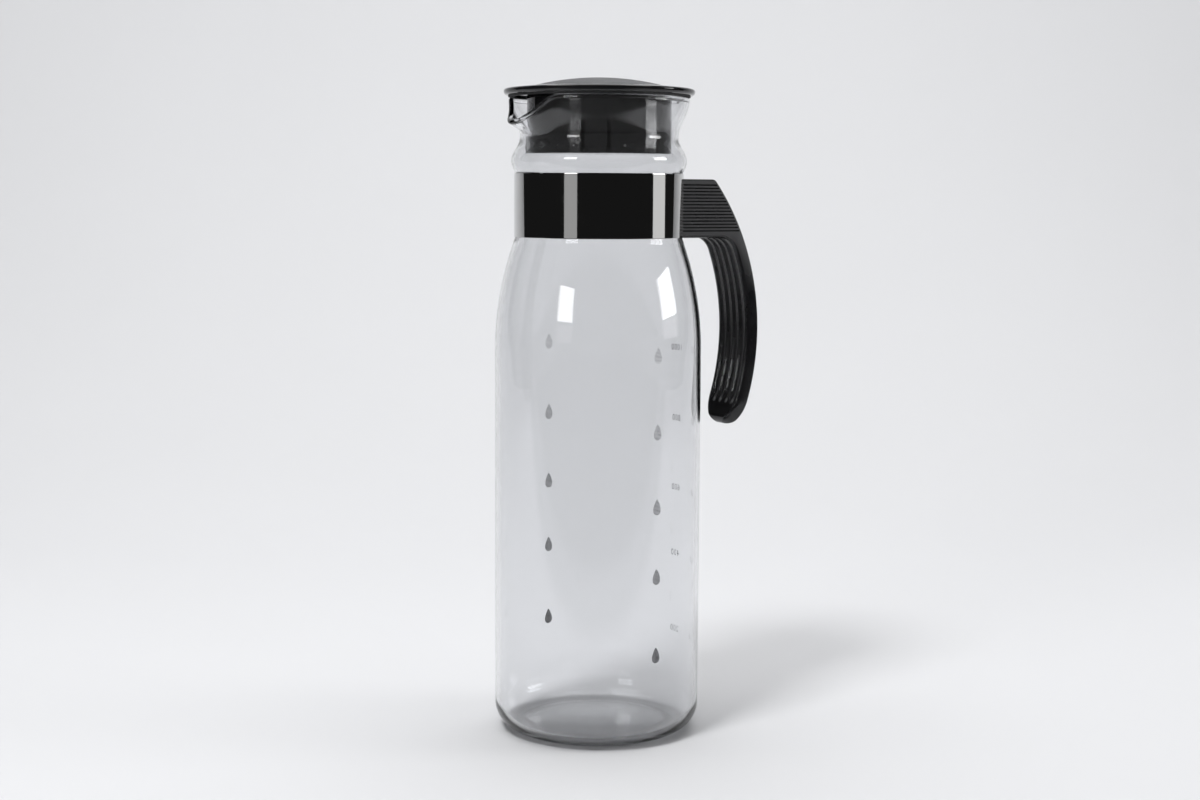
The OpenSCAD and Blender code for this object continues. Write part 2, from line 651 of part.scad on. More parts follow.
// Wedge on a finger: a ridge across part of its width, with ramps above, below and at one side
module finger_snap() {
    b = plug_r * cos(asin(finger_w / 2 / plug_r)) - plug_wall / 2;
    top = plug_r + snap_out;
    y0 = -finger_w / 2 + fit;
    y1 = finger_w / 2 - fit;
    pts = [[b, y0, plug_z], [b, y1, plug_z], [b, y1, plug_z + snap_top], [b, y0, plug_z + snap_top],
        [plug_r, y0, plug_z], [top, y0, plug_z + snap_z], [plug_r, y0, plug_z + snap_top],
        [plug_r - sink, y1, plug_z], [plug_r - sink, y1, plug_z + snap_top],
        [top, 0, plug_z + snap_z]];
    polyhedron(pts, [[0, 1, 2, 3], [3, 6, 5, 4, 0], [1, 7, 8, 2], [0, 4, 7, 1], [2, 8, 6, 3],
        [4, 5, 9, 7], [5, 6, 8], [5, 8, 9], [7, 9, 8]]);
}

// Hollow plug that hangs in the neck, with three sprung fingers and a strainer on its fourth side
module lid_plug() {
    groove_r = plug_in_r + snap_h;
    bottom = plug_z - cut;
    module turned() {
        rotate_extrude($fn = round_fn) polygon([[0, plug_z], [plug_r - edge_break / 2, plug_z],
            [plug_r, plug_z + edge_break / 2], [plug_r, plug_top], [plug_in_r, plug_top],
            [plug_in_r, snap_mid_z + snap_h], [groove_r, snap_mid_z],
            [plug_in_r, snap_mid_z - snap_h], [plug_in_r, plug_z + plug_floor],
            [0, plug_z + plug_floor]]);
    }
    color([0.045, 0.045, 0.05]) union() {
        difference() {
            turned();
            for (dir = finger_dirs) rotate([0, 0, dir]) {
                for (side = [-1, 1])
                    translate([plug_in_r - 2 * plug_wall, side * (finger_w + slot_w) / 2 - slot_w / 2,
                        bottom])
                        cube([4 * plug_wall, slot_w, finger_h + cut]);
                translate([plug_in_r - 2 * plug_wall, -finger_w / 2 - slot_w / 2, bottom])
                    cube([2 * plug_wall - sink, finger_w + slot_w, plug_floor + 2 * cut]);
            }
            rotate([0, 0, strainer_dir]) for (i = [0:slits - 1]) {
                y = (i - (slits - 1) / 2) * slit_pitch - slit_w / 2;
                translate([plug_in_r * 0.7, y, plug_z + plug_floor + edge_break])
                    cube([plug_r, slit_w, slit_h]);
                translate([plug_in_r - 2 * plug_wall - drain_len, y, bottom])
                    cube([drain_len, slit_w, plug_floor + 2 * cut]);
            }
        }
        for (dir = finger_dirs) rotate([0, 0, dir]) finger_snap();
    }
}

glass_jug();
neck_band();
band_liner();
handle();
band_anchor();
clamp_screw();
lock_washer();
rim_seal();
lid_cap();
lid_crown();
lid_plug();
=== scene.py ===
"""Dresses the fridge pitcher: smooth glass, mirror steel, glossy and satin plastic, printed marks.

The pieces' sizes are millimetres in the frame of the model: the jug's axis is Z, its foot stands on
Z = 0, the handle lies along +X and the pouring lip along -X. They become metres only where meshes
are made. The studio's sizes and the scales of the finishes are metres.
"""

import logging
import math
from dataclasses import dataclass, field
from enum import Enum
from functools import partial
from typing import Callable, Dict, Iterable, List, NamedTuple, Sequence, Tuple, Union

import bpy
from mathutils import Matrix, Vector

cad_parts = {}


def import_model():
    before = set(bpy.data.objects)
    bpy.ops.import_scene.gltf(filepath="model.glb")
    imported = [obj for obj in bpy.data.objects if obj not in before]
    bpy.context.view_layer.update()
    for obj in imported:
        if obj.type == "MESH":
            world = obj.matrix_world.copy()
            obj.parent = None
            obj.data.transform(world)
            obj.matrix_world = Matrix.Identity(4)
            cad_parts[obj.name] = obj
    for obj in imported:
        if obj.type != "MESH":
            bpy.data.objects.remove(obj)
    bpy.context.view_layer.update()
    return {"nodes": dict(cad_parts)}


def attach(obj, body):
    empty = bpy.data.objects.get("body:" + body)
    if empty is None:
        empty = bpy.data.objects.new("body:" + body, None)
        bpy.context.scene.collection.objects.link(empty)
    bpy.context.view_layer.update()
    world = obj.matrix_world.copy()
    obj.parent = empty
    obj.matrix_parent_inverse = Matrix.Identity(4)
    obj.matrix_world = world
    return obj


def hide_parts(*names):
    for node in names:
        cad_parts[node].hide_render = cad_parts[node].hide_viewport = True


LOG = logging.getLogger("pitcher")
MM = 0.001

Point2 = Tuple[float, float]
Point3 = Tuple[float, float, float]
Profile = List[Point2]  # the radius and height of each point
Colour = Tuple[float, float, float]
Piece = bpy.types.Object
Socket = bpy.types.NodeSocket
Material = bpy.types.Material
Value = Union[float, Socket]


class Body(Enum):
    """The rigid body that every new piece moves with."""

    JUG = "jug"


class Slot(Enum):
    """The record's material slots, named for the new pieces."""

    GLASS = "clear_glass"
    STEEL = "mirror_steel"
    BLACK = "gloss_black"


class Axis(Enum):
    """Directions that a displacement can take."""

    X = "X"
    Y = "Y"
    Z = "Z"


def ease(share: float) -> float:
    """Returns a smooth step from 0 to 1."""
    return (1 - math.cos(math.pi * share)) / 2


def blend(start: Point2, end: Point2, steps: int) -> Profile:
    """Steps smoothly in radius between two heights.

    Args:
        start: First radius and height.
        end: Last radius and height.
        steps: Number of steps.

    Returns:
        The points, both ends included.
    """
    wide, tall = end[0] - start[0], end[1] - start[1]
    shares = [i / steps for i in range(steps + 1)]
    return [(start[0] + wide * ease(share), start[1] + tall * share) for share in shares]


def arc(centre: Point2, radius: float, start: float, end: float, steps: int) -> List[Point2]:
    """Lists points of an arc.

    Args:
        centre: Middle of the arc.
        radius: Its radius.
        start: First direction in degrees.
        end: Last direction in degrees.
        steps: Number of steps.

    Returns:
        The points, both ends included.
    """
    turns = [math.radians(start + (end - start) * i / steps) for i in range(steps + 1)]
    return [(centre[0] + radius * math.cos(a), centre[1] + radius * math.sin(a)) for a in turns]


class Bench:
    """Modelling steps that every piece shares, done as by hand with Blender's operators.

    Places nearer to each other than same_place, in millimetres, count as one.
    """

    same_place: float = 0.001

    @staticmethod
    def clear_selection() -> None:
        """Leaves edit mode and deselects every object."""
        if bpy.context.mode != "OBJECT":
            bpy.ops.object.mode_set(mode="OBJECT")
        bpy.ops.object.select_all(action="DESELECT")

    @staticmethod
    def pick(obj: Piece) -> None:
        """Makes an object the only selected and the active one."""
        Bench.clear_selection()
        obj.select_set(True)
        bpy.context.view_layer.objects.active = obj

    @staticmethod
    def settle() -> Piece:
        """Puts the active object's place, turn and scale into its mesh and returns it."""
        bpy.ops.object.transform_apply(location=True, rotation=True, scale=True)
        return bpy.context.active_object

    @staticmethod
    def edit_all() -> None:
        """Enters edit mode with all of the active mesh selected."""
        bpy.ops.object.mode_set(mode="EDIT")
        bpy.ops.mesh.select_all(action="SELECT")

    @staticmethod
    def mark(obj: Piece, wanted: Iterable[int]) -> None:
        """Selects the vertices of these numbers alone, in edit mode."""
        bpy.ops.mesh.select_mode(type="VERT")
        bpy.ops.mesh.select_all(action="DESELECT")
        bpy.ops.object.mode_set(mode="OBJECT")
        for index in wanted:
            obj.data.vertices[index].select = True
        bpy.ops.object.mode_set(mode="EDIT")

    @staticmethod
    def select(obj: Piece, chosen: Callable[[Point3], bool]) -> None:
        """Selects the vertices whose place in millimetres is chosen, in edit mode."""
        bpy.ops.object.mode_set(mode="OBJECT")
        wanted = [v.index for v in obj.data.vertices if chosen(tuple(c / MM for c in v.co))]
        bpy.ops.object.mode_set(mode="EDIT")
        Bench.mark(obj, wanted)

    @staticmethod
    def extrude(step: Sequence[float]) -> None:
        """Extrudes what is selected by a step in millimetres."""
        bpy.ops.mesh.extrude_region_move(TRANSFORM_OT_translate={"value": [c * MM for c in step]})

    @staticmethod
    def slide(length: float) -> None:
        """Moves what is selected along X by a length in millimetres."""
        bpy.ops.transform.translate(value=(length * MM, 0, 0))

    @staticmethod
    def turn(angle: float, centre: Point2) -> None:
        """Turns what is selected about an axis along Y.

        Args:
            angle: Turn from +X towards +Z in degrees.
            centre: X and Z of the axis in millimetres.
        """
        bpy.ops.transform.rotate(
            value=math.radians(angle),
            orient_axis="Y",
            center_override=(centre[0] * MM, 0, centre[1] * MM),
        )

    @staticmethod
    def ring(radius: float, height: float, segments: int, filled: bool = False) -> Piece:
        """Adds a circle round the jug's axis and enters edit mode with all of it selected.

        Args:
            radius: Radius in millimetres.
            height: Height in millimetres.
            segments: Number of vertices.
            filled: Whether the circle gets a face.

        Returns:
            The new object.
        """
        Bench.clear_selection()
        bpy.ops.mesh.primitive_circle_add(
            vertices=segments,
            radius=radius * MM,
            fill_type="NGON" if filled else "NOTHING",
            location=(0, 0, height * MM),
        )
        obj = Bench.settle()
        Bench.edit_all()
        return obj

    @staticmethod
    def raise_ring(last: Point2, new: Point2) -> None:
        """Extrudes the selected ring to the next radius and height of a profile."""
        Bench.extrude((0, 0, new[1] - last[1]))
        share = new[0] / last[0]
        bpy.ops.transform.resize(value=(share, share, 1), center_override=(0, 0, 0))

    @staticmethod
    def trace(points: Sequence[Point3]) -> Piece:
        """Draws a closed outline by extruding one vertex from place to place.

        Args:
            points: The outline's points in millimetres.

        Returns:
            The outline as an object in edit mode with all of it selected.
        """
        Bench.clear_selection()
        bpy.ops.mesh.primitive_plane_add(size=2 * MM, location=[c * MM for c in points[0]])
        obj = Bench.settle()
        first = points[0]
        Bench.select(obj, lambda p: p[0] < first[0] or p[1] < first[1])
        bpy.ops.mesh.delete(type="VERT")
        bpy.ops.mesh.select_all(action="SELECT")
        bpy.ops.transform.translate(value=(-MM, -MM, 0))
        for last, new in zip(points, points[1:]):
            Bench.extrude([b - a for a, b in zip(last, new)])
        ends = (points[0], points[-1])
        Bench.select(obj, lambda p: min(math.dist(p, end) for end in ends) < Bench.same_place)
        bpy.ops.mesh.edge_face_add()
        bpy.ops.mesh.select_all(action="SELECT")
        return obj

    @staticmethod
    def block(low: Point3, high: Point3) -> Piece:
        """Adds a box between two corners and returns it."""
        Bench.clear_selection()
        middle = [(a + b) / 2 * MM for a, b in zip(low, high)]
        bpy.ops.mesh.primitive_cube_add(size=1, location=middle)
        bpy.context.active_object.scale = [(b - a) * MM for a, b in zip(low, high)]
        return Bench.settle()

    @staticmethod
    def rod(radius: float, length: float, middle: Point3, sides: int, turn: float) -> Piece:
        """Adds a round bar.

        Args:
            radius: Its radius.
            length: Its length.
            middle: Its middle.
            sides: Number of sides.
            turn: Its lean from Z towards X in degrees.

        Returns:
            The bar.
        """
        Bench.clear_selection()
        bpy.ops.mesh.primitive_cylinder_add(
            vertices=sides,
            radius=radius * MM,
            depth=length * MM,
            location=[c * MM for c in middle],
            rotation=(0, math.radians(turn), 0),
        )
        return Bench.settle()

    @staticmethod
    def cut(obj: Piece, cutter: Piece) -> None:
        """Takes a cutter out of a piece and removes the cutter."""
        Bench.apply(obj, "BOOLEAN", operation="DIFFERENCE", solver="EXACT", object=cutter)
        bpy.data.objects.remove(cutter)

    @staticmethod
    def apply(obj: Piece, kind: str, **settings: object) -> None:
        """Adds a modifier with its settings and applies it.

        Args:
            obj: The object to change.
            kind: Blender's name of the modifier type.
            settings: Values for the modifier's own settings.
        """
        Bench.pick(obj)
        modifier = obj.modifiers.new(kind.title(), kind)
        for name, value in settings.items():
            setattr(modifier, name, value)
        bpy.ops.object.modifier_apply(modifier=modifier.name)

    @staticmethod
    def recalculate(obj: Piece) -> None:
        """Merges doubles and turns every face outwards."""
        Bench.pick(obj)
        Bench.edit_all()
        bpy.ops.mesh.remove_doubles(threshold=Bench.same_place * MM)
        bpy.ops.mesh.normals_make_consistent(inside=False)
        bpy.ops.object.mode_set(mode="OBJECT")

    @staticmethod
    def finish(
        obj: Piece, name: str, slot: Slot, material: Material, sharp: float = 180.0
    ) -> None:
        """Names, shades and dresses a piece and lets it ride on the jug.

        Args:
            obj: The modelled piece.
            name: Its name.
            slot: The record's material slot; not used.
            material: Its material.
            sharp: Angle in degrees over which an edge stays sharp.
        """
        Bench.pick(obj)
        Bench.settle()
        if sharp < 180:
            bpy.ops.object.shade_smooth_by_angle(angle=math.radians(sharp))
        else:
            bpy.ops.object.shade_smooth()
        obj.name = name
        obj.data.name = name
        obj.data.materials.clear()
        obj.data.materials.append(material)
        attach(obj, Body.JUG.value)
        LOG.info("%s: %d faces on body %s", name, len(obj.data.polygons), Body.JUG.value)


class Noise(NamedTuple):
    """Noise on Object coordinates: waves per metre, octaves, the finer ones' share, a stretch."""

    scale: float
    detail: float
    roughness: float = 0.5
    stretch: Point3 = (1, 1, 1)


class Ramp(NamedTuple):
    """Two limits of a factor and the values that it gives there."""

    low: float
    high: float
    start: float = 0.0
    end: float = 1.0


class Nodes:
    """A material's or the world's node tree, built from its shader backwards."""

    def __init__(self, owner: bpy.types.ID, shader: str = "Principled BSDF") -> None:
        """Opens the tree of a material or world at its shader."""
        owner.use_nodes = True
        self.owner = owner
        self.tree = owner.node_tree
        self.shader = self.tree.nodes[shader]

    def set(self, **values: object) -> None:
        """Sets constants on the shader's own sockets, named in words joined by underscores."""
        for name, value in values.items():
            self.shader.inputs[name.replace("_", " ")].default_value = value

    def add(self, kind: str, **settings: object) -> bpy.types.Node:
        """Adds a node and sets its properties or inputs.

        Args:
            kind: Blender's node type without its prefix.
            settings: Properties by their own name, inputs by their name with underscores.

        Returns:
            The node.
        """
        node = self.tree.nodes.new("ShaderNode" + kind)
        for name, value in settings.items():
            if hasattr(node, name):
                setattr(node, name, value)
            else:
                node.inputs[name.replace("_", " ")].default_value = value
        return node

    def link(self, source: Socket, target: Socket) -> None:
        """Joins two sockets."""
        self.tree.links.new(source, target)

    def place(self, kind: str = "Object") -> Socket:
        """Returns the socket of a texture coordinate."""
        return self.add("TexCoord").outputs[kind]

    def split(self, source: Socket) -> Tuple[Socket, ...]:
        """Returns the X, Y and Z sockets of a vector."""
        node = self.add("SeparateXYZ")
        self.link(source, node.inputs["Vector"])
        return tuple(node.outputs)

    def calc(self, operation: str, *values: Value) -> Socket:
        """Adds one step of a sum.

        Args:
            operation: Blender's name of the operation.
            values: Its inputs, each a number or a socket.

        Returns:
            The result's socket.
        """
        node = self.add("Math", operation=operation)
        for place, value in zip(node.inputs, values):
            if isinstance(value, Socket):
                self.link(value, place)
            else:
                place.default_value = value
        return node.outputs[0]

    def noise(self, noise: Noise) -> Socket:
        """Adds noise on Object coordinates and returns its factor."""
        mapping = self.add("Mapping", Scale=noise.stretch)
        waves = self.add(
            "TexNoise", Scale=noise.scale, Detail=noise.detail, Roughness=noise.roughness
        )
        self.link(self.place(), mapping.inputs["Vector"])
        self.link(mapping.outputs["Vector"], waves.inputs["Vector"])
        return waves.outputs["Fac"]

    def ramp(self, source: Socket, ramp: Ramp) -> Socket:
        """Maps a factor between two limits onto two values and returns the result's socket."""
        node = self.add(
            "MapRange", From_Min=ramp.low, From_Max=ramp.high, To_Min=ramp.start, To_Max=ramp.end
        )
        self.link(source, node.inputs["Value"])
        return node.outputs["Result"]

    def tint(self, source: Socket, dark: Colour, pale: Colour) -> None:
        """Lets a factor mix two colours into the shader's base colour."""
        mix = self.add("Mix", data_type="RGBA")
        for item in mix.inputs:
            if item.type == "RGBA":
                item.default_value = (*(dark if item.name == "A" else pale), 1)
        self.link(source, mix.inputs["Factor"])
        result = [item for item in mix.outputs if item.type == "RGBA"][0]
        self.link(result, self.shader.inputs["Base Color"])

    def roughen(self, source: Socket, ramp: Ramp) -> None:
        """Lets a factor set the shader's roughness."""
        self.link(self.ramp(source, ramp), self.shader.inputs["Roughness"])

    def bump(self, height: Socket, share: float, distance: float) -> None:
        """Links a bump to the shader's normal.

        Args:
            height: Height socket.
            share: Share of the full bump.
            distance: Full height in metres.
        """
        node = self.add("Bump", Strength=share, Distance=distance)
        self.link(height, node.inputs["Height"])
        self.link(node.outputs["Normal"], self.shader.inputs["Normal"])


class Finish:
    """A finish of a piece: its colours and sizes, and how they are wired into a material."""

    name: str

    def wire(self, nodes: Nodes) -> None:
        """Sets and links the sockets of a new material's shader."""
        raise NotImplementedError

    def material(self) -> Material:
        """Makes the finish's material and returns it."""
        nodes = Nodes(bpy.data.materials.new(self.name))
        self.wire(nodes)
        return nodes.owner


@dataclass(frozen=True)
class ClearGlass(Finish):
    """Polished borosilicate glass with a faint wave from being blown."""

    name: str = "clear_glass"
    colour: Colour = (0.885, 0.89, 0.9)
    ior: float = 1.473
    wave: Noise = Noise(22, 1, stretch=(1, 1, 0.35))
    wave_share: float = 0.35
    wave_height: float = 0.00002

    def wire(self, nodes: Nodes) -> None:
        """Makes it clear, with the wave as a bump."""
        nodes.set(Base_Color=(*self.colour, 1), Roughness=0.0)
        nodes.set(IOR=self.ior, Transmission_Weight=1.0)
        nodes.bump(nodes.noise(self.wave), self.wave_share, self.wave_height)


@dataclass(frozen=True)
class MirrorSteel(Finish):
    """Mirror-polished strip with hairline scratches and faint handling marks."""

    name: str = "mirror_steel"
    colour: Colour = (0.58, 0.58, 0.575)
    marks: Noise = Noise(70, 4, 0.6)
    gloss: Ramp = Ramp(0.45, 0.75, 0.03, 0.08)
    scratch: Noise = Noise(160, 3, 0.7, (1, 1, 22))
    scratch_share: float = 0.12
    scratch_height: float = 0.00001

    def wire(self, nodes: Nodes) -> None:
        """Makes it smeared by hands, with the scratches as a bump."""
        nodes.set(Base_Color=(*self.colour, 1), Metallic=1.0)
        nodes.roughen(nodes.noise(self.marks), self.gloss)
        nodes.bump(nodes.noise(self.scratch), self.scratch_share, self.scratch_height)


@dataclass(frozen=True)
class PlainSteel(Finish):
    """Turned or pressed steel of the clamp's small parts."""

    name: str = "plain_steel"
    dark: Colour = (0.4, 0.4, 0.392)
    pale: Colour = (0.5, 0.5, 0.49)
    wear: Noise = Noise(500, 5, 0.6)
    gloss: Ramp = Ramp(0.3, 0.7, 0.22, 0.38)
    wear_share: float = 0.2
    wear_height: float = 0.00003

    def wire(self, nodes: Nodes) -> None:
        """Makes it worn in colour, gloss and height."""
        nodes.set(Metallic=1.0)
        wear = nodes.noise(self.wear)
        nodes.tint(wear, self.dark, self.pale)
        nodes.roughen(wear, self.gloss)
        nodes.bump(wear, self.wear_share, self.wear_height)


@dataclass(frozen=True)
class Moulded(Finish):
    """Moulded plastic or soft rubber: its colour, gloss, grain and faint handling marks."""

    name: str
    dark: Colour
    pale: Colour
    gloss: Point2
    grain: Noise
    grain_height: float
    ior: float = 1.49
    cloud: Noise = Noise(45, 4)
    cloud_ramp: Ramp = Ramp(0.35, 0.65)
    smear: Noise = Noise(120, 5, 0.65)
    smear_limits: Point2 = (0.35, 0.7)
    grain_share: float = 0.5

    def wire(self, nodes: Nodes) -> None:
        """Makes it clouded and smeared, with the grain as a bump."""
        nodes.set(IOR=self.ior)
        nodes.tint(nodes.ramp(nodes.noise(self.cloud), self.cloud_ramp), self.dark, self.pale)
        nodes.roughen(nodes.noise(self.smear), Ramp(*self.smear_limits, *self.gloss))
        nodes.bump(nodes.noise(self.grain), self.grain_share, self.grain_height)


@dataclass(frozen=True)
class HandleBlack(Finish):
    """The handle's moulded black: satin on the head's flat sides and glossy elsewhere, with a
    painted sheen on the head's lands and painted shade in the groove floors and down the grip.
    """

    name: str = "gloss_black"
    dark: Colour = (0.006, 0.006, 0.007)
    pale: Colour = (0.075, 0.075, 0.078)
    ior: float = 1.43
    side_facing: Ramp = Ramp(0.75, 0.97)
    # Painted shade and painted sheen: depth across keeps the groove floors dark, and the satin
    # lands are tinted paler, fading out down the grip below the head.
    land_vs_shaded_groove_y: Ramp = Ramp(0.01188, 0.01208)
    satin_and_sheen_above: Ramp = Ramp(0.196, 0.224)
    painted_sheen_grey: float = 0.85
    cloud: Noise = Noise(45, 4)
    cloud_grey: Ramp = Ramp(0.35, 0.65, 0.0, 0.15)
    gloss: Ramp = Ramp(0.0, 1.0, 0.15, 0.5)
    smear: Noise = Noise(120, 5, 0.65)
    smear_gloss: Ramp = Ramp(0.35, 0.7, -0.02, 0.05)
    grain: Noise = Noise(900, 3, 0.55)
    grain_share: float = 0.5
    grain_height: float = 0.000005

    def wire(self, nodes: Nodes) -> None:
        """Makes the lands between the grooves satin with a painted sheen, keeps painted shade in
        the groove floors, and fades satin and painted sheen out below the head.
        """
        nodes.set(IOR=self.ior)
        facing = nodes.calc("ABSOLUTE", nodes.split(nodes.place("Normal"))[1])
        _, across, height = nodes.split(nodes.place())
        land = nodes.ramp(nodes.calc("ABSOLUTE", across), self.land_vs_shaded_groove_y)
        land = nodes.calc("MULTIPLY", nodes.ramp(facing, self.side_facing), land)
        satin = nodes.calc("MULTIPLY", land, nodes.ramp(height, self.satin_and_sheen_above))
        cloud = nodes.ramp(nodes.noise(self.cloud), self.cloud_grey)
        # Painted sheen: the satin lands take this share of the pale colour; the groove floors and
        # the grip below the head stay dark as painted shade.
        sheen_and_cloud_grey = nodes.calc("MULTIPLY_ADD", satin, self.painted_sheen_grey, cloud)
        nodes.tint(sheen_and_cloud_grey, self.dark, self.pale)
        smear = nodes.ramp(nodes.noise(self.smear), self.smear_gloss)
        gloss = nodes.calc("ADD", nodes.ramp(satin, self.gloss), smear)
        nodes.link(gloss, nodes.shader.inputs["Roughness"])
        nodes.bump(nodes.noise(self.grain), self.grain_share, self.grain_height)


@dataclass(frozen=True)
class CrownGrain(Finish):
    """Satin panel with the fine leather-like grain of a spark-eroded mould."""

    name: str = "satin_charcoal"
    dark: Colour = (0.035, 0.036, 0.039)
    pale: Colour = (0.07, 0.072, 0.076)
    ior: float = 1.49
    cells: float = 1100
    pebble: Ramp = Ramp(0.0, 0.35)
    pebble_share: float = 0.6
    pebble_height: float = 0.00012
    haze: Noise = Noise(60, 4)
    gloss: Ramp = Ramp(0.3, 0.7, 0.36, 0.5)

    def wire(self, nodes: Nodes) -> None:
        """Makes the grain both a pattern of greys and a bump."""
        nodes.set(IOR=self.ior)
        cells = nodes.add("TexVoronoi", feature="DISTANCE_TO_EDGE", Scale=self.cells)
        nodes.link(nodes.place(), cells.inputs["Vector"])
        pebble = nodes.ramp(cells.outputs["Distance"], self.pebble)
        nodes.tint(pebble, self.dark, self.pale)
        nodes.roughen(nodes.noise(self.haze), self.gloss)
        nodes.bump(pebble, self.pebble_share, self.pebble_height)


@dataclass(frozen=True)
class PrintInk(Finish):
    """Thin grey ink fired onto the glass, laid as fine hatching where it covers only a share."""

    name: str = "print_ink"
    cover: float = 1.0
    dark: Colour = (0.16, 0.16, 0.17)
    pale: Colour = (0.27, 0.27, 0.285)
    hatch: float = 0.00058
    roughness: float = 0.55
    shine: float = 0.3
    wear: Noise = Noise(900, 4, 0.7)
    wear_ramp: Ramp = Ramp(0.4, 0.62)

    def wire(self, nodes: Nodes) -> None:
        """Makes it worn, and clear between the hatching's lines."""
        nodes.set(Roughness=self.roughness, Specular_IOR_Level=self.shine)
        nodes.tint(nodes.ramp(nodes.noise(self.wear), self.wear_ramp), self.dark, self.pale)
        if self.cover < 1:
            row = nodes.calc("MULTIPLY", nodes.split(nodes.place())[2], 1 / self.hatch)
            inked = nodes.calc("LESS_THAN", nodes.calc("FRACT", row), self.cover)
            nodes.link(inked, nodes.shader.inputs["Alpha"])


@dataclass
class JugGlass:
    """The jug, one piece of glass with a pulled lip.

    The straight wall's rows keep straight_gap from the heel and the shoulder. The lip takes in
    lip_half degrees to each side of -X, its reach falls off by lip_power and its wall bends out by
    lip_curl. The mouth's rows crowd towards the waist by mouth_crowding, and a vertex within
    row_gap of a row belongs to it.
    """

    body_r: float = 46.0
    wall: float = 2.0
    base: float = 3.0
    heel_r: float = 12.0
    foot_w: float = 2.5
    push_up: float = 1.5
    shoulder_z: float = 172.0
    straight_gap: Point2 = (4.0, 12.0)
    neck_z: float = 221.4
    neck_r: float = 37.05
    seat_r: float = 36.5
    seat_low: float = 224.25
    seat_top: float = 246.55
    neck_wall: float = 1.7
    bulge_r: float = 38.8
    bulge_z: float = 255.0
    waist_r: float = 35.0
    waist_z: float = 265.3
    mouth_r: float = 39.7
    rim_z: float = 282.6
    bead_r: float = 1.1
    bead_arc: Point2 = (-40.0, 220.0)
    lip_dip: float = 10.4
    lip_reach: float = 4.7
    lip_half: float = 33.0
    lip_power: float = 2.6
    lip_curl: float = 1.5
    mouth_crowding: float = 1.3
    mouth_lift: float = 0.15
    row_gap: float = 0.01
    floor_steps: int = 12
    heel_steps: Tuple[int, int] = (24, 20)
    shoulder_steps: int = 40
    seat_steps: int = 6
    bulge_steps: int = 16
    mouth_steps: int = 20
    bead_steps: int = 18
    segments: int = 256
    quick_segments: int = 96
    pole_r: float = 0.4
    finish: ClearGlass = field(default_factory=ClearGlass)

    @property
    def foot_r(self) -> float:
        """Returns the radius at which the heel's curve meets the foot."""
        return self.body_r - self.heel_r

    @property
    def shoulder_r(self) -> float:
        """Returns the radius of the shoulder's arc, which leaves the body without a corner."""
        drop, rise = self.body_r - self.neck_r, self.neck_z - self.shoulder_z
        return (rise**2 + drop**2) / (2 * drop)

    def floor(self, height: float) -> Profile:
        """Lists the pushed-up floor from its middle to its edge.

        Args:
            height: Height of the edge.
        """
        shares = [i / self.floor_steps for i in range(1, self.floor_steps + 1)]
        foot_in = self.foot_r - self.foot_w
        rows = [(foot_in * t, height + self.push_up * (1 - ease(t))) for t in shares]
        return [(self.pole_r, height + self.push_up)] + rows

    def neck(self, thick: float) -> Profile:
        """Lists the profile from the neck over the band's seat and the bulge to the waist.

        Args:
            thick: How far inside the outer surface it lies.
        """
        neck, seat = self.neck_r - thick, self.seat_r - thick
        bulge, waist = (self.bulge_r - thick, self.bulge_z), (self.waist_r - thick, self.waist_z)
        points = blend((neck, self.neck_z), (seat, self.seat_low), self.seat_steps)
        points += blend((seat, self.seat_top), bulge, self.bulge_steps)
        return points + blend(bulge, waist, self.bulge_steps)[1:]

    def outside(self) -> Profile:
        """Lists the outer profile from the foot's middle to the waist."""
        low, high = self.straight_gap
        turn = math.degrees(math.asin((self.neck_z - self.shoulder_z) / self.shoulder_r))
        heel = arc((self.foot_r, self.heel_r), self.heel_r, -90, 0, self.heel_steps[0])
        wall = [(self.body_r, self.heel_r + low), (self.body_r, self.shoulder_z - high)]
        centre = (self.body_r - self.shoulder_r, self.shoulder_z)
        shoulder = arc(centre, self.shoulder_r, 0, turn, self.shoulder_steps)
        return self.floor(0.0) + heel + wall + shoulder + self.neck(0.0)[1:]

    def mouth(self, pull: float = 0.0) -> Profile:
        """Lists the flare, the bead and the flare's inside, from waist to waist.

        Args:
            pull: How far this section shares in the lip, from 0 to 1.
        """
        height = self.rim_z - self.bead_r - self.lip_dip * pull - self.waist_z
        reach = self.lip_reach * pull**self.lip_power
        near = 0.01

        def middle(t: float) -> Point2:
            """Returns the wall's middle line at a share of the flare's height."""
            flare = (self.mouth_r - self.waist_r) * ease(t) + reach * max(t, 0.0) ** self.lip_curl
            return (self.waist_r - self.neck_wall / 2 + flare, self.waist_z + height * t)

        def upward(t: float) -> Point2:
            """Returns the unit direction up the wall."""
            low, high = middle(t - near), middle(t + near)
            length = math.dist(low, high)
            return ((high[0] - low[0]) / length, (high[1] - low[1]) / length)

        half = self.neck_wall / 2
        rising, falling = [], []
        for i in range(1, self.mouth_steps):
            t = (i / self.mouth_steps) ** self.mouth_crowding
            (r, z), (ur, uz) = middle(t), upward(t)
            lowest = self.waist_z + self.mouth_lift * height * t
            rising.append((r + half * uz, max(lowest, z - half * ur)))
            falling.append((r - half * uz, z + half * ur))
        (r, z), (ur, uz) = middle(1), upward(1)
        bead = [
            (r + out * uz + up * ur, z - out * ur + up * uz)
            for out, up in arc((0, 0), self.bead_r, *self.bead_arc, self.bead_steps)
        ]
        return rising + bead + falling[::-1]

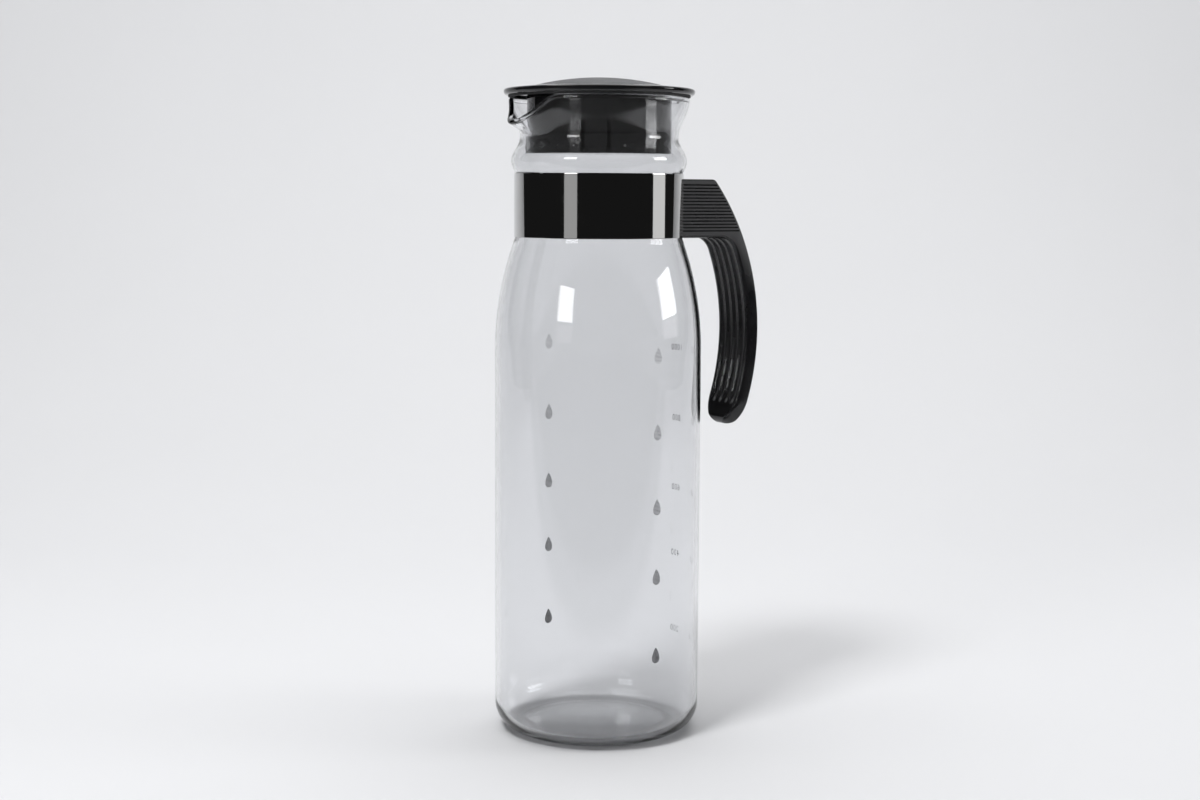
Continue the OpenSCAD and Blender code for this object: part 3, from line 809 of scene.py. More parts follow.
    def inside(self) -> Profile:
        """Lists the inner profile from the waist to the middle of the floor."""
        low, high = self.straight_gap
        inner_r, in_r = self.shoulder_r - self.wall, self.body_r - self.wall
        centre = (self.body_r - self.shoulder_r, self.shoulder_z)
        neck_in = self.neck_r - self.neck_wall
        turn = math.degrees(math.acos((neck_in - centre[0]) / inner_r))
        shoulder = arc(centre, inner_r, turn, 0, self.shoulder_steps)[1:]
        heel_in = self.heel_r - self.wall
        heel_z = self.base + heel_in
        side = [(in_r, self.shoulder_z - high), (in_r, heel_z + low)]
        heel = arc((self.foot_r, heel_z), heel_in, 0, -90, self.heel_steps[1])
        neck, floor = self.neck(self.neck_wall), self.floor(self.base)
        return neck[::-1] + shoulder + side + heel + floor[::-1]

    def lip_share(self, place: Point3) -> float:
        """Returns how far a point's section shares in the lip."""
        off = abs(math.degrees(math.atan2(place[1], -place[0])))
        return (1 + math.cos(math.pi * off / self.lip_half)) / 2 if off < self.lip_half else 0.0

    def pull_lip(self, obj: Piece) -> None:
        """Dips the rim and pulls it out into the lip with weighted displacements."""
        level = self.mouth()
        most = self.lip_dip + self.lip_reach
        names = {
            (axis, sign): f"{axis.value}{sign:+d}"
            for axis in (Axis.Z, Axis.X, Axis.Y)
            for sign in (-1, 1)
        }
        groups = {key: obj.vertex_groups.new(name=name) for key, name in names.items()}
        for vertex in obj.data.vertices:
            place = tuple(c / MM for c in vertex.co)
            pull = self.lip_share(place)
            spot = (math.hypot(place[0], place[1]), place[2])
            if pull <= 0 or spot[1] < self.waist_z:
                continue
            row = min(range(len(level)), key=lambda i: math.dist(level[i], spot))
            if math.dist(level[row], spot) > self.row_gap:
                continue
            new = self.mouth(pull)[row]
            out, up = new[0] / spot[0] - 1, new[1] - spot[1]
            for axis, change in ((Axis.Z, up), (Axis.X, place[0] * out), (Axis.Y, place[1] * out)):
                group = groups[axis, 1 if change > 0 else -1]
                group.add([vertex.index], abs(change) / most, "REPLACE")
        for (axis, sign), name in names.items():
            Bench.apply(
                obj,
                "DISPLACE",
                direction=axis.value,
                mid_level=0.0,
                strength=sign * most * MM,
                vertex_group=name,
            )
        obj.vertex_groups.clear()

    def build(self) -> Piece:
        """Raises the glass ring by ring along its profile, pulls the lip and dresses it.

        Returns:
            The finished glass.
        """
        profile = self.outside() + self.mouth() + self.inside()
        segments = self.segments
        obj = Bench.ring(profile[0][0], profile[0][1], segments, filled=True)
        for last, new in zip(profile, profile[1:]):
            if math.dist(last, new) > Bench.same_place:
                Bench.raise_ring(last, new)
        bpy.ops.mesh.edge_face_add()
        Bench.clear_selection()
        self.pull_lip(obj)
        Bench.recalculate(obj)
        Bench.finish(obj, "jug_glass", Slot.GLASS, self.finish.material())
        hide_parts("glass_jug")
        return obj


@dataclass
class NeckBand:
    """The polished strip round the neck, with its two ends turned out into the handle.

    It is open for opening degrees to each side of +X, and an end's last row lies within end_turn
    degrees more.
    """

    low_z: float = 221.4
    height: float = 28.0
    middle_r: float = 37.35
    thickness: float = 0.5
    opening: float = 10.4
    end_turn: float = 1.3
    edge_row: float = 0.3
    edge_w: float = 0.09
    edge_turn: float = 50.0
    edge_segments: int = 2
    tab_gap: float = 12.0
    tab_low: float = 227.4
    tab_height: float = 16.0
    tab_x: float = 50.35
    hook_y: float = 2.7
    bend_r: float = 0.9
    bend_steps: int = 4
    segments: int = 288
    smooth_below: float = 35.0
    finish: MirrorSteel = field(default_factory=MirrorSteel)

    def turn_end(self, obj: Piece, side: int) -> None:
        """Extrudes one end of the strip outwards into the handle and hooks it.

        Args:
            obj: The strip being edited.
            side: 1 for the end at +Y, -1 for the one at -Y.
        """
        limit = math.radians(self.opening + self.end_turn)
        tab_middle = self.tab_low + self.tab_height / 2

        def at_end(place: Point3) -> bool:
            """Says whether a point lies on this end, at the height of the tab."""
            level = abs(place[2] - tab_middle) < self.tab_height / 2 + self.edge_row / 2
            return level and 0 < math.atan2(place[1], place[0]) * side < limit

        Bench.select(obj, at_end)
        ends = [v.co.copy() for v in obj.data.vertices if at_end(tuple(c / MM for c in v.co))]
        here = (ends[0].x / MM, ends[0].y / MM)
        mid, bend_r = self.tab_gap / 2, self.bend_r
        bend_y = mid + bend_r
        bend_x = math.sqrt((self.middle_r + bend_r) ** 2 - bend_y**2)
        turn = math.degrees(math.atan2(bend_y, bend_x))
        hook = (self.tab_x - bend_r, mid - bend_r)
        route = arc((bend_x, bend_y), bend_r, 180 + turn, 270, self.bend_steps)
        route += arc(hook, bend_r, 90, 0, self.bend_steps) + [(self.tab_x, self.hook_y)]
        for x, y in route:
            Bench.extrude((x - here[0], side * y - here[1], 0))
            here = (x, side * y)

    def build(self) -> None:
        """Raises the strip, opens it at the handle, turns its ends out and gives it its gauge."""
        top, edge = self.low_z + self.height, self.edge_row
        tab = [self.tab_low, self.tab_low + self.tab_height]
        rows = [self.low_z, self.low_z + edge, *tab, top - edge, top]
        obj = Bench.ring(self.middle_r, rows[0], self.segments)
        for low, high in zip(rows, rows[1:]):
            Bench.raise_ring((self.middle_r, low), (self.middle_r, high))
        opening = math.radians(self.opening)
        Bench.select(obj, lambda p: abs(math.atan2(p[1], p[0])) < opening)
        bpy.ops.mesh.delete(type="VERT")
        for side in (1, -1):
            self.turn_end(obj, side)
        Bench.clear_selection()
        Bench.recalculate(obj)
        Bench.apply(obj, "SOLIDIFY", thickness=self.thickness * MM, offset=0.0)
        Bench.apply(
            obj,
            "BEVEL",
            width=self.edge_w * MM,
            segments=self.edge_segments,
            limit_method="ANGLE",
            angle_limit=math.radians(self.edge_turn),
        )
        Bench.finish(obj, "band_strip", Slot.STEEL, self.finish.material(), self.smooth_below)
        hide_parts("neck_band")


@dataclass
class HandleGrip:
    """The moulded handle, lofted from one fluted section from its tip to the band.

    The grip follows an arc round bow, whose back has bow_r. Turns about it are degrees, and places
    within same_turn of each other count as one ring. The flutes fade out over flute_fade degrees
    and end flute_stop degrees before the tip's nose. The screw lies along X at clamp_z.
    """

    half_w: float = 12.2
    bow: Point2 = (-29.0, 178.6)
    bow_r: float = 108.0
    grip_t: float = 6.1
    head_z: float = 221.0
    head_top: float = 247.4
    crook_r: float = 9.5
    corner_r: float = 3.0
    finger_edge_r: float = 2.2
    back_edge_r: float = 0.9
    tip_z: float = 134.6
    tip_corner_r: float = 12.0
    tip_thin: float = 0.06
    flutes: int = 4
    flute_pitch: float = 4.9
    flute_w: float = 3.9
    flute_depth: float = 1.0
    flute_fade: float = 3.0
    flute_stop: float = 3.0
    flute_reach: float = 1.2
    flute_edge: float = 0.25
    ridge_soft: float = 0.42
    ridge_probes: int = 6
    flute_points: int = 80
    edge_points: Tuple[int, int] = (8, 5)
    grooves: int = 15
    groove_pitch: float = 1.47
    groove_w: float = 0.62
    groove_depth: float = 0.45
    groove_start: float = 2.6
    groove_end: float = 1.3
    front_r: float = 37.65
    inner_x: float = 34.0
    pocket: Point3 = (51.0, 6.65, 8.4)
    pocket_past: float = 4.0
    clamp_z: float = 235.4
    bore_r: float = 2.2
    bore_reach: Point2 = (-7.0, 5.0)
    counter_r: float = 4.05
    counter_deep: float = 20.0
    seat_x: float = 55.0
    seat_sides: int = 192
    bore_sides: int = 48
    counter_sides: int = 64
    grip_steps: int = 36
    fine_turn: float = 5.0
    fine_steps: int = 16
    tip_steps: int = 9
    crook_steps: int = 14
    corner_steps: int = 6
    corner_slide: float = 0.4
    head_steps: int = 4
    same_turn: float = 0.02
    smooth_below: float = 38.0
    finish: HandleBlack = field(default_factory=HandleBlack)

    def flute(self, across: float) -> float:
        """Tells how deep the flutes are.

        Args:
            across: Distance from the middle of the finger side.

        Returns:
            The depth there.
        """
        half, pitch = self.flute_w / 2, self.flute_pitch
        spread = self.flutes / 2 * pitch
        radius = (half**2 + self.flute_depth**2) / (2 * self.flute_depth)
        off = (across + spread) % pitch - pitch / 2
        if abs(off) > half or abs(across) > spread:
            return 0.0
        return math.sqrt(radius**2 - off**2) - radius + self.flute_depth

    def soft_flute(self, across: float) -> float:
        """Returns the same depth with the ridges between the flutes rounded."""
        probes = range(-self.ridge_probes, self.ridge_probes + 1)
        near = [across + self.ridge_soft * i / self.ridge_probes for i in probes]
        return sum(self.flute(place) for place in near) / len(near)

    def section(self) -> List[Point2]:
        """Lists the section's outline.

        Returns:
            Distance across and depth behind the finger side of each point.
        """
        w, e, b, t = self.half_w, self.finger_edge_r, self.back_edge_r, self.grip_t
        finger, back = self.edge_points
        outline = arc((-w + e, e), e, 180, 270, finger)
        span = w - e - self.flute_edge
        for k in range(self.flute_points + 1):
            across = span * (2 * k / self.flute_points - 1)
            outline.append((across, self.soft_flute(across)))
        outline += arc((w - e, e), e, 270, 360, finger)
        outline += arc((w - b, t - b), b, 0, 90, back)
        return outline + arc((-w + b, t - b), b, 90, 180, back)

    def at(self, turn: float, depth: float) -> Point2:
        """Returns the place at a turn about the bow's axis, at a depth behind the finger side."""
        a, reach = math.radians(turn), self.bow_r - self.grip_t + depth
        return (self.bow[0] + reach * math.cos(a), self.bow[1] + reach * math.sin(a))

    def squeeze(self, chosen: Callable[[Point3], bool], share: Point2, centre: Point2) -> None:
        """Scales part of the selected ring across and through its thickness.

        Args:
            chosen: Says which of the ring's points are wanted.
            share: Scale across and through the thickness.
            centre: X and Z of the point that stays.
        """
        Bench.select(bpy.context.active_object, chosen)
        bpy.ops.transform.resize(
            value=(share[1], share[0], share[1]),
            center_override=(centre[0] * MM, 0, centre[1] * MM),
        )

    def reach(self, place: Point3) -> float:
        """Returns a place's distance from the bow's axis."""
        return math.hypot(place[0] - self.bow[0], place[2] - self.bow[1])

    def at_turn(self, turn: float, place: Point3) -> bool:
        """Says whether a place lies at a turn about the bow's axis in degrees."""
        its_turn = math.degrees(math.atan2(place[2] - self.bow[1], place[0] - self.bow[0]))
        return abs(its_turn - turn) < self.same_turn

    def run_grip(self, top: float) -> None:
        """Extrudes the section down the grip, closes the flutes and rounds the tip.

        Args:
            top: Turn at which the section stands.
        """
        half_t, plain = self.grip_t / 2, self.bow_r - self.grip_t
        middle_r = self.bow_r - half_t
        nose = -math.degrees(math.asin((self.bow[1] - self.tip_z - half_t) / middle_r))
        end = nose - math.degrees(half_t / middle_r)
        fine = nose + self.fine_turn
        turns = [top + (fine - top) * i / self.grip_steps for i in range(self.grip_steps + 1)]
        turns += [
            fine - self.fine_turn * i / self.fine_steps for i in range(1, self.fine_steps + 1)
        ]
        turns += [
            nose + (end - nose) * math.sin(math.pi / 2 * i / self.tip_steps)
            for i in range(1, self.tip_steps + 1)
        ]
        width, thick, deep = 1.0, 1.0, 1.0
        for last, turn in zip(turns, turns[1:]):
            bpy.ops.mesh.extrude_region_move()
            Bench.turn(turn - last, self.bow)
            here = partial(self.at_turn, turn)
            drop = self.tip_z + self.tip_corner_r - self.at(turn, half_t)[1]
            drop = min(max(drop, 0.0), self.tip_corner_r)
            side = math.sqrt(self.tip_corner_r**2 - drop**2)
            new_width = (self.half_w - self.tip_corner_r + side) / self.half_w if drop else width
            past = max(0.0, (nose - turn) / (nose - end))
            new_thick = max(self.tip_thin, math.sqrt(max(0.0, 1 - past**2)))
            fade = (turn - nose - self.flute_stop) / self.flute_fade
            new_deep = ease(min(1.0, max(0.0, fade)))
            if new_deep < deep and deep > 0:
                self.squeeze(
                    lambda p: here(p)
                    and abs(p[1]) < self.half_w - self.finger_edge_r
                    and plain + Bench.same_place < self.reach(p) < plain + self.flute_reach,
                    (1, new_deep / deep),
                    self.at(turn, 0),
                )
            if new_width < width or new_thick < thick:
                share = (new_width / width, new_thick / thick)
                self.squeeze(here, share, self.at(turn, half_t))
            Bench.select(bpy.context.active_object, here)
            width, thick, deep = new_width, new_thick, new_deep
        bpy.ops.mesh.edge_face_add()

    def run_head(self, obj: Piece, top: float, crook: Point2) -> None:
        """Extrudes the section up through the crook and along the head to the band.

        Args:
            obj: The handle being edited.
            top: Turn at which the section stands.
            crook: X and Z of the crook's axis.
        """
        corner_z = self.head_top - self.corner_r
        reach = self.bow_r - self.corner_r
        corner_x = self.bow[0] + math.sqrt(reach**2 - (corner_z - self.bow[1]) ** 2)
        corner_turn = math.degrees(math.atan2(corner_z - self.bow[1], corner_x - self.bow[0]))
        finger_left = crook[0] - self.corner_steps * self.corner_slide - self.inner_x
        moves = [
            (
                partial(Bench.turn, (90 - top) / self.crook_steps, crook),
                partial(Bench.turn, (corner_turn - top) / self.crook_steps, self.bow),
            )
        ] * self.crook_steps
        moves += [
            (
                partial(Bench.slide, -self.corner_slide),
                partial(Bench.turn, (90 - corner_turn) / self.corner_steps, (corner_x, corner_z)),
            )
        ] * self.corner_steps
        moves += [
            (
                partial(Bench.slide, -finger_left / self.head_steps),
                partial(Bench.slide, (self.inner_x - corner_x) / self.head_steps),
            )
        ] * self.head_steps
        finger = [depth <= self.finger_edge_r + Bench.same_place for _, depth in self.section()]
        Bench.select(obj, partial(self.at_turn, top))
        for finger_move, back_move in moves:
            bpy.ops.mesh.extrude_region_move()
            bpy.ops.object.mode_set(mode="OBJECT")
            ring = [v.index for v in obj.data.vertices if v.select]
            bpy.ops.object.mode_set(mode="EDIT")
            for wanted, move in ((True, finger_move), (False, back_move)):
                Bench.mark(obj, [v for v, front in zip(ring, finger) if front == wanted])
                move()
            Bench.mark(obj, ring)
        bpy.ops.mesh.edge_face_add()

    def cut_grooves(self, obj: Piece) -> None:
        """Cuts the fine grooves into both sides of the head."""
        half = self.groove_w / 2
        for i in range(self.grooves):
            z = self.head_top - self.groove_start - i * self.groove_pitch
            back = self.bow[0] + math.sqrt(self.bow_r**2 - (z - self.bow[1]) ** 2) - self.groove_end
            for side in (-1, 1):
                ends = sorted((side * (self.half_w - self.groove_depth), side * (self.half_w + 1)))
                low = (self.front_r / 2, ends[0], z - half)
                Bench.cut(obj, Bench.block(low, (back, ends[1], z + half)))

    def cut_clamp(self, obj: Piece) -> None:
        """Cuts the band's seat, the pocket for its ends and the screw's holes."""
        middle = (0, 0, (self.head_z + self.head_top) / 2)
        tall = 2 * (self.head_top - self.head_z)
        Bench.cut(obj, Bench.rod(self.front_r, tall, middle, self.seat_sides, 0))
        x, half_y, half_z = self.pocket
        low = (self.inner_x - self.pocket_past, -half_y, self.clamp_z - half_z)
        Bench.cut(obj, Bench.block(low, (x, half_y, self.clamp_z + half_z)))
        start, end = self.bore_reach
        for radius, low_x, high_x, sides in (
            (self.bore_r, start, end, self.bore_sides),
            (self.counter_r, 0.0, self.counter_deep, self.counter_sides),
        ):
            middle = (self.seat_x + (low_x + high_x) / 2, 0, self.clamp_z)
            Bench.cut(obj, Bench.rod(radius, high_x - low_x, middle, sides, 90))

    def build(self) -> None:
        """Lofts the handle from its section, cuts it out for the clamp and dresses it."""
        crook_z = self.head_z - self.crook_r
        reach = self.bow_r - self.grip_t - self.crook_r
        crook_x = self.bow[0] + math.sqrt(reach**2 - (crook_z - self.bow[1]) ** 2)
        top = math.degrees(math.atan2(crook_z - self.bow[1], crook_x - self.bow[0]))
        ring = [(self.at(top, d)[0], y, self.at(top, d)[1]) for y, d in self.section()]
        obj = Bench.trace(ring)
        self.run_grip(top)
        self.run_head(obj, top, (crook_x, crook_z))
        Bench.clear_selection()
        Bench.recalculate(obj)
        self.cut_clamp(obj)
        self.cut_grooves(obj)
        Bench.recalculate(obj)
        Bench.finish(obj, "handle_grip", Slot.BLACK, self.finish.material(), self.smooth_below)
        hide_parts("handle")


@dataclass
class VolumePrint:
    """Numbers and drops printed on the outside of the glass.

    Each column stands at one turn. A drop is hatched more closely the lower it stands.
    """

    glass: Piece
    glass_r: float = 46.0
    lift: float = 0.02
    heights: Tuple[float, ...] = (170.6, 138.0, 105.6, 74.8, 39.0)
    volumes: Tuple[str, ...] = ("1000", "800", "600", "400", "200")
    number_turns: Point2 = (3.1, -23.0)
    number_h: float = 2.9
    number_size: float = 1.38
    number_spread: float = 1.2
    number_thin: float = 0.02
    number_ink: PrintInk = PrintInk("number_ink", 1.0, (0.03, 0.03, 0.032), (0.06, 0.06, 0.063))
    drop_heights: Tuple[float, ...] = (172.0, 139.0, 106.5, 76.0, 41.4)
    drop_turns: Point2 = (90.0, -87.0)
    covers: Tuple[float, ...] = (0.3, 0.5, 0.65, 0.8, 1.0)
    drop_w: float = 4.0
    drop_h: float = 6.8
    drop_sides: int = 40
    drop_shoulder: float = 0.9
    drop_point: float = 0.98

    def lay(self, obj: Piece, turn: float, height: float) -> None:
        """Turns a flat print to its place and wraps it onto the glass.

        Args:
            obj: A print that lies flat in the XZ plane round the origin, read from -Y.
            turn: Direction of its middle in degrees.
            height: Height of its middle.
        """
        out = Matrix.Translation((0, -(self.glass_r + self.lift) * MM, height * MM))
        obj.matrix_world = Matrix.Rotation(math.radians(turn + 90), 4, "Z") @ out
        Bench.pick(obj)
        Bench.settle()
        Bench.apply(
            obj,
            "SHRINKWRAP",
            target=self.glass,
            wrap_method="NEAREST_SURFACEPOINT",
            wrap_mode="OUTSIDE_SURFACE",
            offset=self.lift * MM,
        )

    def stand(self) -> Piece:
        """Turns the active object from the XY plane up into the XZ plane and returns it."""
        bpy.context.active_object.matrix_world = Matrix.Rotation(math.pi / 2, 4, "X")
        return Bench.settle()

    def number(self, words: str) -> Piece:
        """Makes one flat number.

        Args:
            words: The digits.

        Returns:
            A mesh in the XZ plane, its middle at the origin.
        """
        Bench.clear_selection()
        bpy.ops.object.text_add(location=(0, 0, 0))
        text = bpy.context.active_object.data
        text.body = words
        text.size = self.number_h * MM * self.number_size
        text.space_character = self.number_spread
        text.offset = -self.number_thin * MM
        text.align_x = "CENTER"
        text.align_y = "CENTER"
        bpy.ops.object.convert(target="MESH")
        return self.stand()

    def drop(self) -> Piece:
        """Makes one flat drop, a disc drawn out to a point at its top.

        Returns:
            A mesh in the XZ plane, its middle at the origin.
        """
        Bench.clear_selection()
        half, longer = self.drop_w / 2, self.drop_h - self.drop_w
        bpy.ops.mesh.primitive_circle_add(
            vertices=self.drop_sides, radius=half * MM, fill_type="NGON"
        )
        obj = self.stand()
        Bench.select(obj, lambda p: p[2] > self.drop_point * half)
        bpy.ops.transform.translate(
            value=(0, 0, longer * MM),
            use_proportional_edit=True,
            proportional_edit_falloff="SHARP",
            proportional_size=self.drop_w * self.drop_shoulder * MM,
        )
        bpy.ops.mesh.select_all(action="SELECT")
        bpy.ops.transform.translate(value=(0, 0, -longer / 2 * MM))
        Bench.clear_selection()
        return obj

    def build(self) -> None:
        """Prints both columns of numbers and both columns of drops."""
        ink = self.number_ink.material()
        for column, turn in enumerate(self.number_turns):
            for words, height in zip(self.volumes, self.heights):
                obj = self.number(words)
                self.lay(obj, turn, height)
                Bench.finish(obj, f"mark_{words}_{column}", Slot.GLASS, ink)
        inks = [PrintInk(f"drop_ink_{row}", c).material() for row, c in enumerate(self.covers)]
        for column, turn in enumerate(self.drop_turns):
            for row, height in enumerate(self.drop_heights):
                obj = self.drop()
                self.lay(obj, turn, height)
                Bench.finish(obj, f"drop_{row}_{column}", Slot.GLASS, inks[row])


@dataclass
class KeptParts:
    """The parts that show the model's own solids, each with its material."""

    lid_gloss: Moulded = Moulded(
        name="lid_black",
        dark=(0.006, 0.006, 0.007),
        pale=(0.01, 0.01, 0.011),
        gloss=(0.05, 0.11),
        grain=Noise(700, 3, 0.55),
        grain_height=0.000008,
    )
    rubber: Moulded = Moulded(
        name="soft_black",
        dark=(0.02, 0.02, 0.021),
        pale=(0.035, 0.035, 0.036),
        gloss=(0.6, 0.8),
        grain=Noise(1500, 3, 0.55),
        grain_height=0.00003,
    )
    liner: Moulded = Moulded(
        name="soft_liner",
        dark=(0.5, 0.5, 0.48),
        pale=(0.62, 0.62, 0.6),
        gloss=(0.45, 0.6),
        grain=Noise(1500, 3, 0.55),
        grain_height=0.00003,
    )
    steel: PlainSteel = field(default_factory=PlainSteel)
    crown: CrownGrain = field(default_factory=CrownGrain)

    def dress(self, nodes: Dict[str, Piece]) -> None:
        """Gives each kept node its material.

        Args:
            nodes: The model's nodes by name.
        """
        plan = (
            (self.liner, ("band_liner",)),
            (self.steel, ("band_anchor", "clamp_screw", "lock_washer")),
            (self.rubber, ("rim_seal",)),
            (self.lid_gloss, ("lid_cap", "lid_plug")),
            (self.crown, ("lid_crown",)),
        )
        for finish, names in plan:
            material = finish.material()
            for node in (nodes[name] for name in names):
                if not node.material_slots:
                    node.data.materials.append(material)
                for slot in node.material_slots:
                    slot.material = material
                LOG.info("%s: kept, finish %s", node.name, material.name)


@dataclass(frozen=True)
class Lamp:
    """An area lamp, placed by its turn about the jug in degrees, its distance and its height.

    Gloss and glass show it only where it is mirrored.
    """

    name: str
    turn: float
    distance: float
    height: float
    size: Point2
    power: float
    aim: Point3
    mirrored: bool = True

    def place(self) -> None:
        """Adds the lamp to the scene and faces it to its aim."""
        light = bpy.data.lights.new(self.name, "AREA")
        light.shape = "RECTANGLE"
        light.size, light.size_y = self.size
        light.energy = self.power
        obj = bpy.data.objects.new(self.name, light)
        bpy.context.scene.collection.objects.link(obj)
        a = math.radians(self.turn)
        obj.location = (self.distance * math.cos(a), self.distance * math.sin(a), self.height)
        way = Vector(self.aim) - obj.location
        obj.rotation_euler = way.to_track_quat("-Z", "Y").to_euler()
        obj.visible_glossy = self.mirrored
        obj.visible_transmission = self.mirrored


@dataclass
class Studio:
    """Pale sweep, two strip lights at the sides and a broad light overhead.

    The backdrop stands towards view_turn. The ramps run along the sweep and across it.
    """

    floor_colour: Colour = (0.72, 0.725, 0.74)
    floor_darker: float = 0.965
    floor_rough: float = 0.9
    floor_shine: float = 0.2
    floor_cloud: Noise = Noise(3, 3)
    room_light: float = 0.012
    seen_light: float = 0.62
    glass_share: float = 0.4
    sweep_w: float = 3.1
    sweep_front: float = 2.2
    sweep_back: float = 1.1
    sweep_edge: float = 0.01
    sweep_h: float = 3.2
    sweep_r: float = 0.7
    sweep_steps: int = 24
    view_turn: float = 59.0
    # Painted dark reflection of the front paper, and its colour.
    dark_front: Ramp = Ramp(-0.22, -0.3)
    dark_grey: Colour = (0.12, 0.12, 0.12)
    far_front: Ramp = Ramp(-0.35, -1.0)
    far_side: Ramp = Ramp(0.85, 1.3)
    lamps: Tuple[Lamp, ...] = (
        Lamp("left_box", 201.5, 1.15, 0.465, (0.36, 0.27), 2.0, (0, 0, 0.25)),
        Lamp("left_spill", 201.5, 1.15, 0.24, (0.36, 0.13), 0.07, (0, 0, 0.24)),
        Lamp("right_box", 326.8, 1.15, 0.435, (0.45, 0.27), 2.8, (0, 0, 0.25)),
        Lamp("right_spill", 326.8, 1.15, 0.235, (0.45, 0.12), 0.15, (0, 0, 0.235)),
        Lamp("key", 205.0, 0.8, 1.4, (0.3, 0.3), 11.0, (0, 0, 0.1), mirrored=False),
        Lamp("overhead", 59.0, 0.25, 1.9, (1.9, 1.9), 22.0, (0, 0, 0)),
        Lamp("backdrop_light", 59.0, 0.1, 1.5, (1.8, 0.6), 7.0, (0.5, 0.86, 0.6)),
    )

    def sweep(self) -> None:
        """Builds the floor and the backdrop as one bent sheet behind the pitcher."""
        Bench.clear_selection()
        bpy.ops.mesh.primitive_plane_add(size=1, location=(0, 0, 0))
        obj = bpy.context.active_object
        obj.scale = (self.sweep_w, self.sweep_front + self.sweep_back, 1)
        obj.location = (0, (self.sweep_back - self.sweep_front) / 2, 0)
        Bench.settle()
        back = (self.sweep_back - self.sweep_edge) / MM
        Bench.select(obj, lambda p: p[1] > back)
        Bench.extrude((0, 0, self.sweep_h / MM))
        Bench.select(obj, lambda p: p[1] > back and p[2] < 1)
        bpy.ops.mesh.bevel(offset=self.sweep_r, segments=self.sweep_steps, affect="EDGES")
        Bench.clear_selection()
        obj.matrix_world = Matrix.Rotation(math.radians(self.view_turn - 90), 4, "Z")
        Bench.pick(obj)
        Bench.settle()
        bpy.ops.object.shade_smooth()
        obj.name = "sweep"
        obj.data.materials.append(self.paper())

    def paper(self) -> Material:
        """Makes the sweep's pale matt paper.

        Mirror images see its front as dark, a painted dark reflection, and its far front and sides
        fade into the pale room.

        Returns:
            Its material.
        """
        nodes = Nodes(bpy.data.materials.new("pale_paper"))
        nodes.set(Roughness=self.floor_rough, Specular_IOR_Level=self.floor_shine)
        darker = tuple(self.floor_darker * c for c in self.floor_colour)
        nodes.tint(nodes.noise(self.floor_cloud), darker, self.floor_colour)
        turned = nodes.add("Mapping", Rotation=(0, 0, math.radians(90 - self.view_turn)))
        nodes.link(nodes.place(), turned.inputs["Vector"])
        across, along, _ = nodes.split(turned.outputs["Vector"])
        rays = nodes.add("LightPath").outputs
        # Painted dark reflection: where mirror images see the front paper, a dark grey matt sheet
        # stands in for it.
        mirrored = nodes.calc("MINIMUM", rays["Glossy Depth"], 1.0)
        dark = nodes.calc("MULTIPLY", mirrored, rays["Is Glossy Ray"])
        dark = nodes.calc("MULTIPLY", dark, nodes.ramp(along, self.dark_front))
        direct = nodes.calc("SUBTRACT", 1.0, mirrored)
        direct = nodes.calc("MULTIPLY", direct, rays["Is Transmission Ray"])
        direct = nodes.calc("ADD", direct, rays["Is Camera Ray"])
        side = nodes.ramp(nodes.calc("ABSOLUTE", across), self.far_side)
        far = nodes.calc("MAXIMUM", nodes.ramp(along, self.far_front), side)
        far = nodes.calc("MULTIPLY", far, direct)
        painted_dark_reflection = nodes.add("BsdfDiffuse", Color=(*self.dark_grey, 1))
        haze = nodes.add("Emission", Strength=self.seen_light + self.room_light)
        below = nodes.shader
        for factor, above in ((dark, painted_dark_reflection), (far, haze)):
            mix = nodes.add("MixShader")
            for source, target in zip((factor, below.outputs[0], above.outputs[0]), mix.inputs):
                nodes.link(source, target)
            below = mix
        nodes.link(below.outputs[0], nodes.tree.nodes["Material Output"].inputs["Surface"])
        return nodes.owner

    def room(self) -> bpy.types.World:
        """Makes a dim room that only looks pale where the camera sees it past the sweep.

        Returns:
            The world.
        """
        nodes = Nodes(bpy.data.worlds.new("dim_room"), "Background")
        rays = nodes.add("LightPath").outputs
        camera, glass = rays["Is Camera Ray"], rays["Is Transmission Ray"]
        seen = nodes.calc("MULTIPLY_ADD", glass, self.glass_share, camera)
        light = nodes.calc("MULTIPLY_ADD", seen, self.seen_light, self.room_light)
        nodes.set(Color=(1, 1, 1, 1))
        nodes.link(light, nodes.shader.inputs["Strength"])
        return nodes.owner

    def build(self) -> None:
        """Sets up the sweep, the lamps and the dim room."""
        self.sweep()
        for lamp in self.lamps:
            lamp.place()
        bpy.context.scene.world = self.room()


@dataclass
class PhotoCamera:
    """The camera at the photograph's viewing angle."""

    distance: float = 840.0
    height: float = 240.0
    turn: float = 239.0
    pitch: float = 6.2
    roll: float = 0.3
    focal_px: float = 1885.0
    image_w: float = 1200.0
    middle_x: float = 597.8
    sensor: float = 36.0
    nearest: float = 0.01

    def build(self) -> None:
        """Creates the camera and makes it the scene's own."""
        data = bpy.data.cameras.new("photo_camera")
        data.sensor_width = self.sensor
        data.lens = self.focal_px / self.image_w * self.sensor
        data.shift_x = (self.image_w / 2 - self.middle_x) / self.image_w
        data.clip_start = self.nearest
        camera = bpy.data.objects.new("photo_camera", data)
        bpy.context.scene.collection.objects.link(camera)
        a = math.radians(self.turn)
        out = (self.distance * math.cos(a), self.distance * math.sin(a), self.height)
        place = Matrix.Translation([c * MM for c in out])
        turn = Matrix.Rotation(math.radians(self.turn + 90), 4, "Z")
        tilt = Matrix.Rotation(math.radians(90 - self.pitch), 4, "X")
        roll = Matrix.Rotation(math.radians(self.roll), 4, "Z")
        camera.matrix_world = place @ turn @ tilt @ roll
        bpy.context.scene.camera = camera


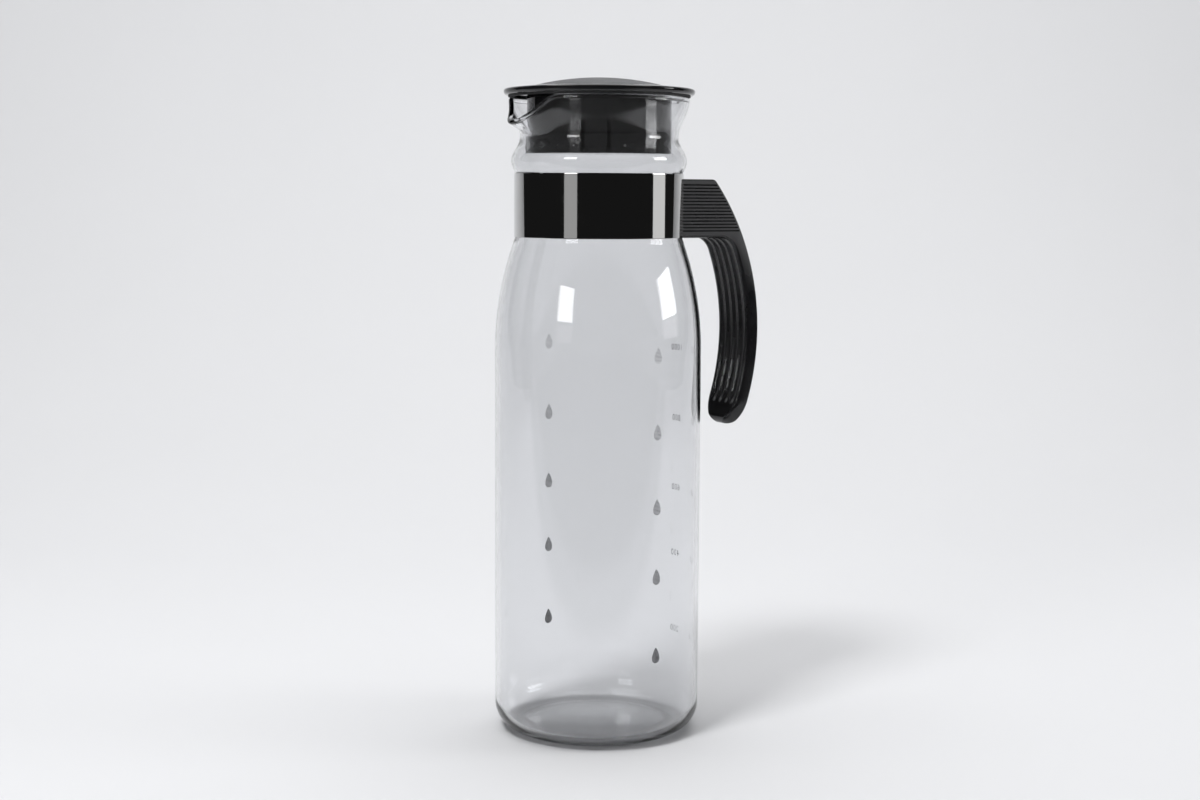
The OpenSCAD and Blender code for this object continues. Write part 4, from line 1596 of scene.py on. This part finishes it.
def main() -> None:
    """Dresses the pitcher and sets the scene."""
    logging.basicConfig(level=logging.INFO, format="%(message)s")
    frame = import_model()
    bpy.context.scene.view_settings.view_transform = "Standard"
    PhotoCamera().build()
    Studio().build()
    KeptParts().dress(frame["nodes"])
    glass = JugGlass().build()
    NeckBand().build()
    HandleGrip().build()
    VolumePrint(glass).build()


if __name__ == "__main__":
    main()
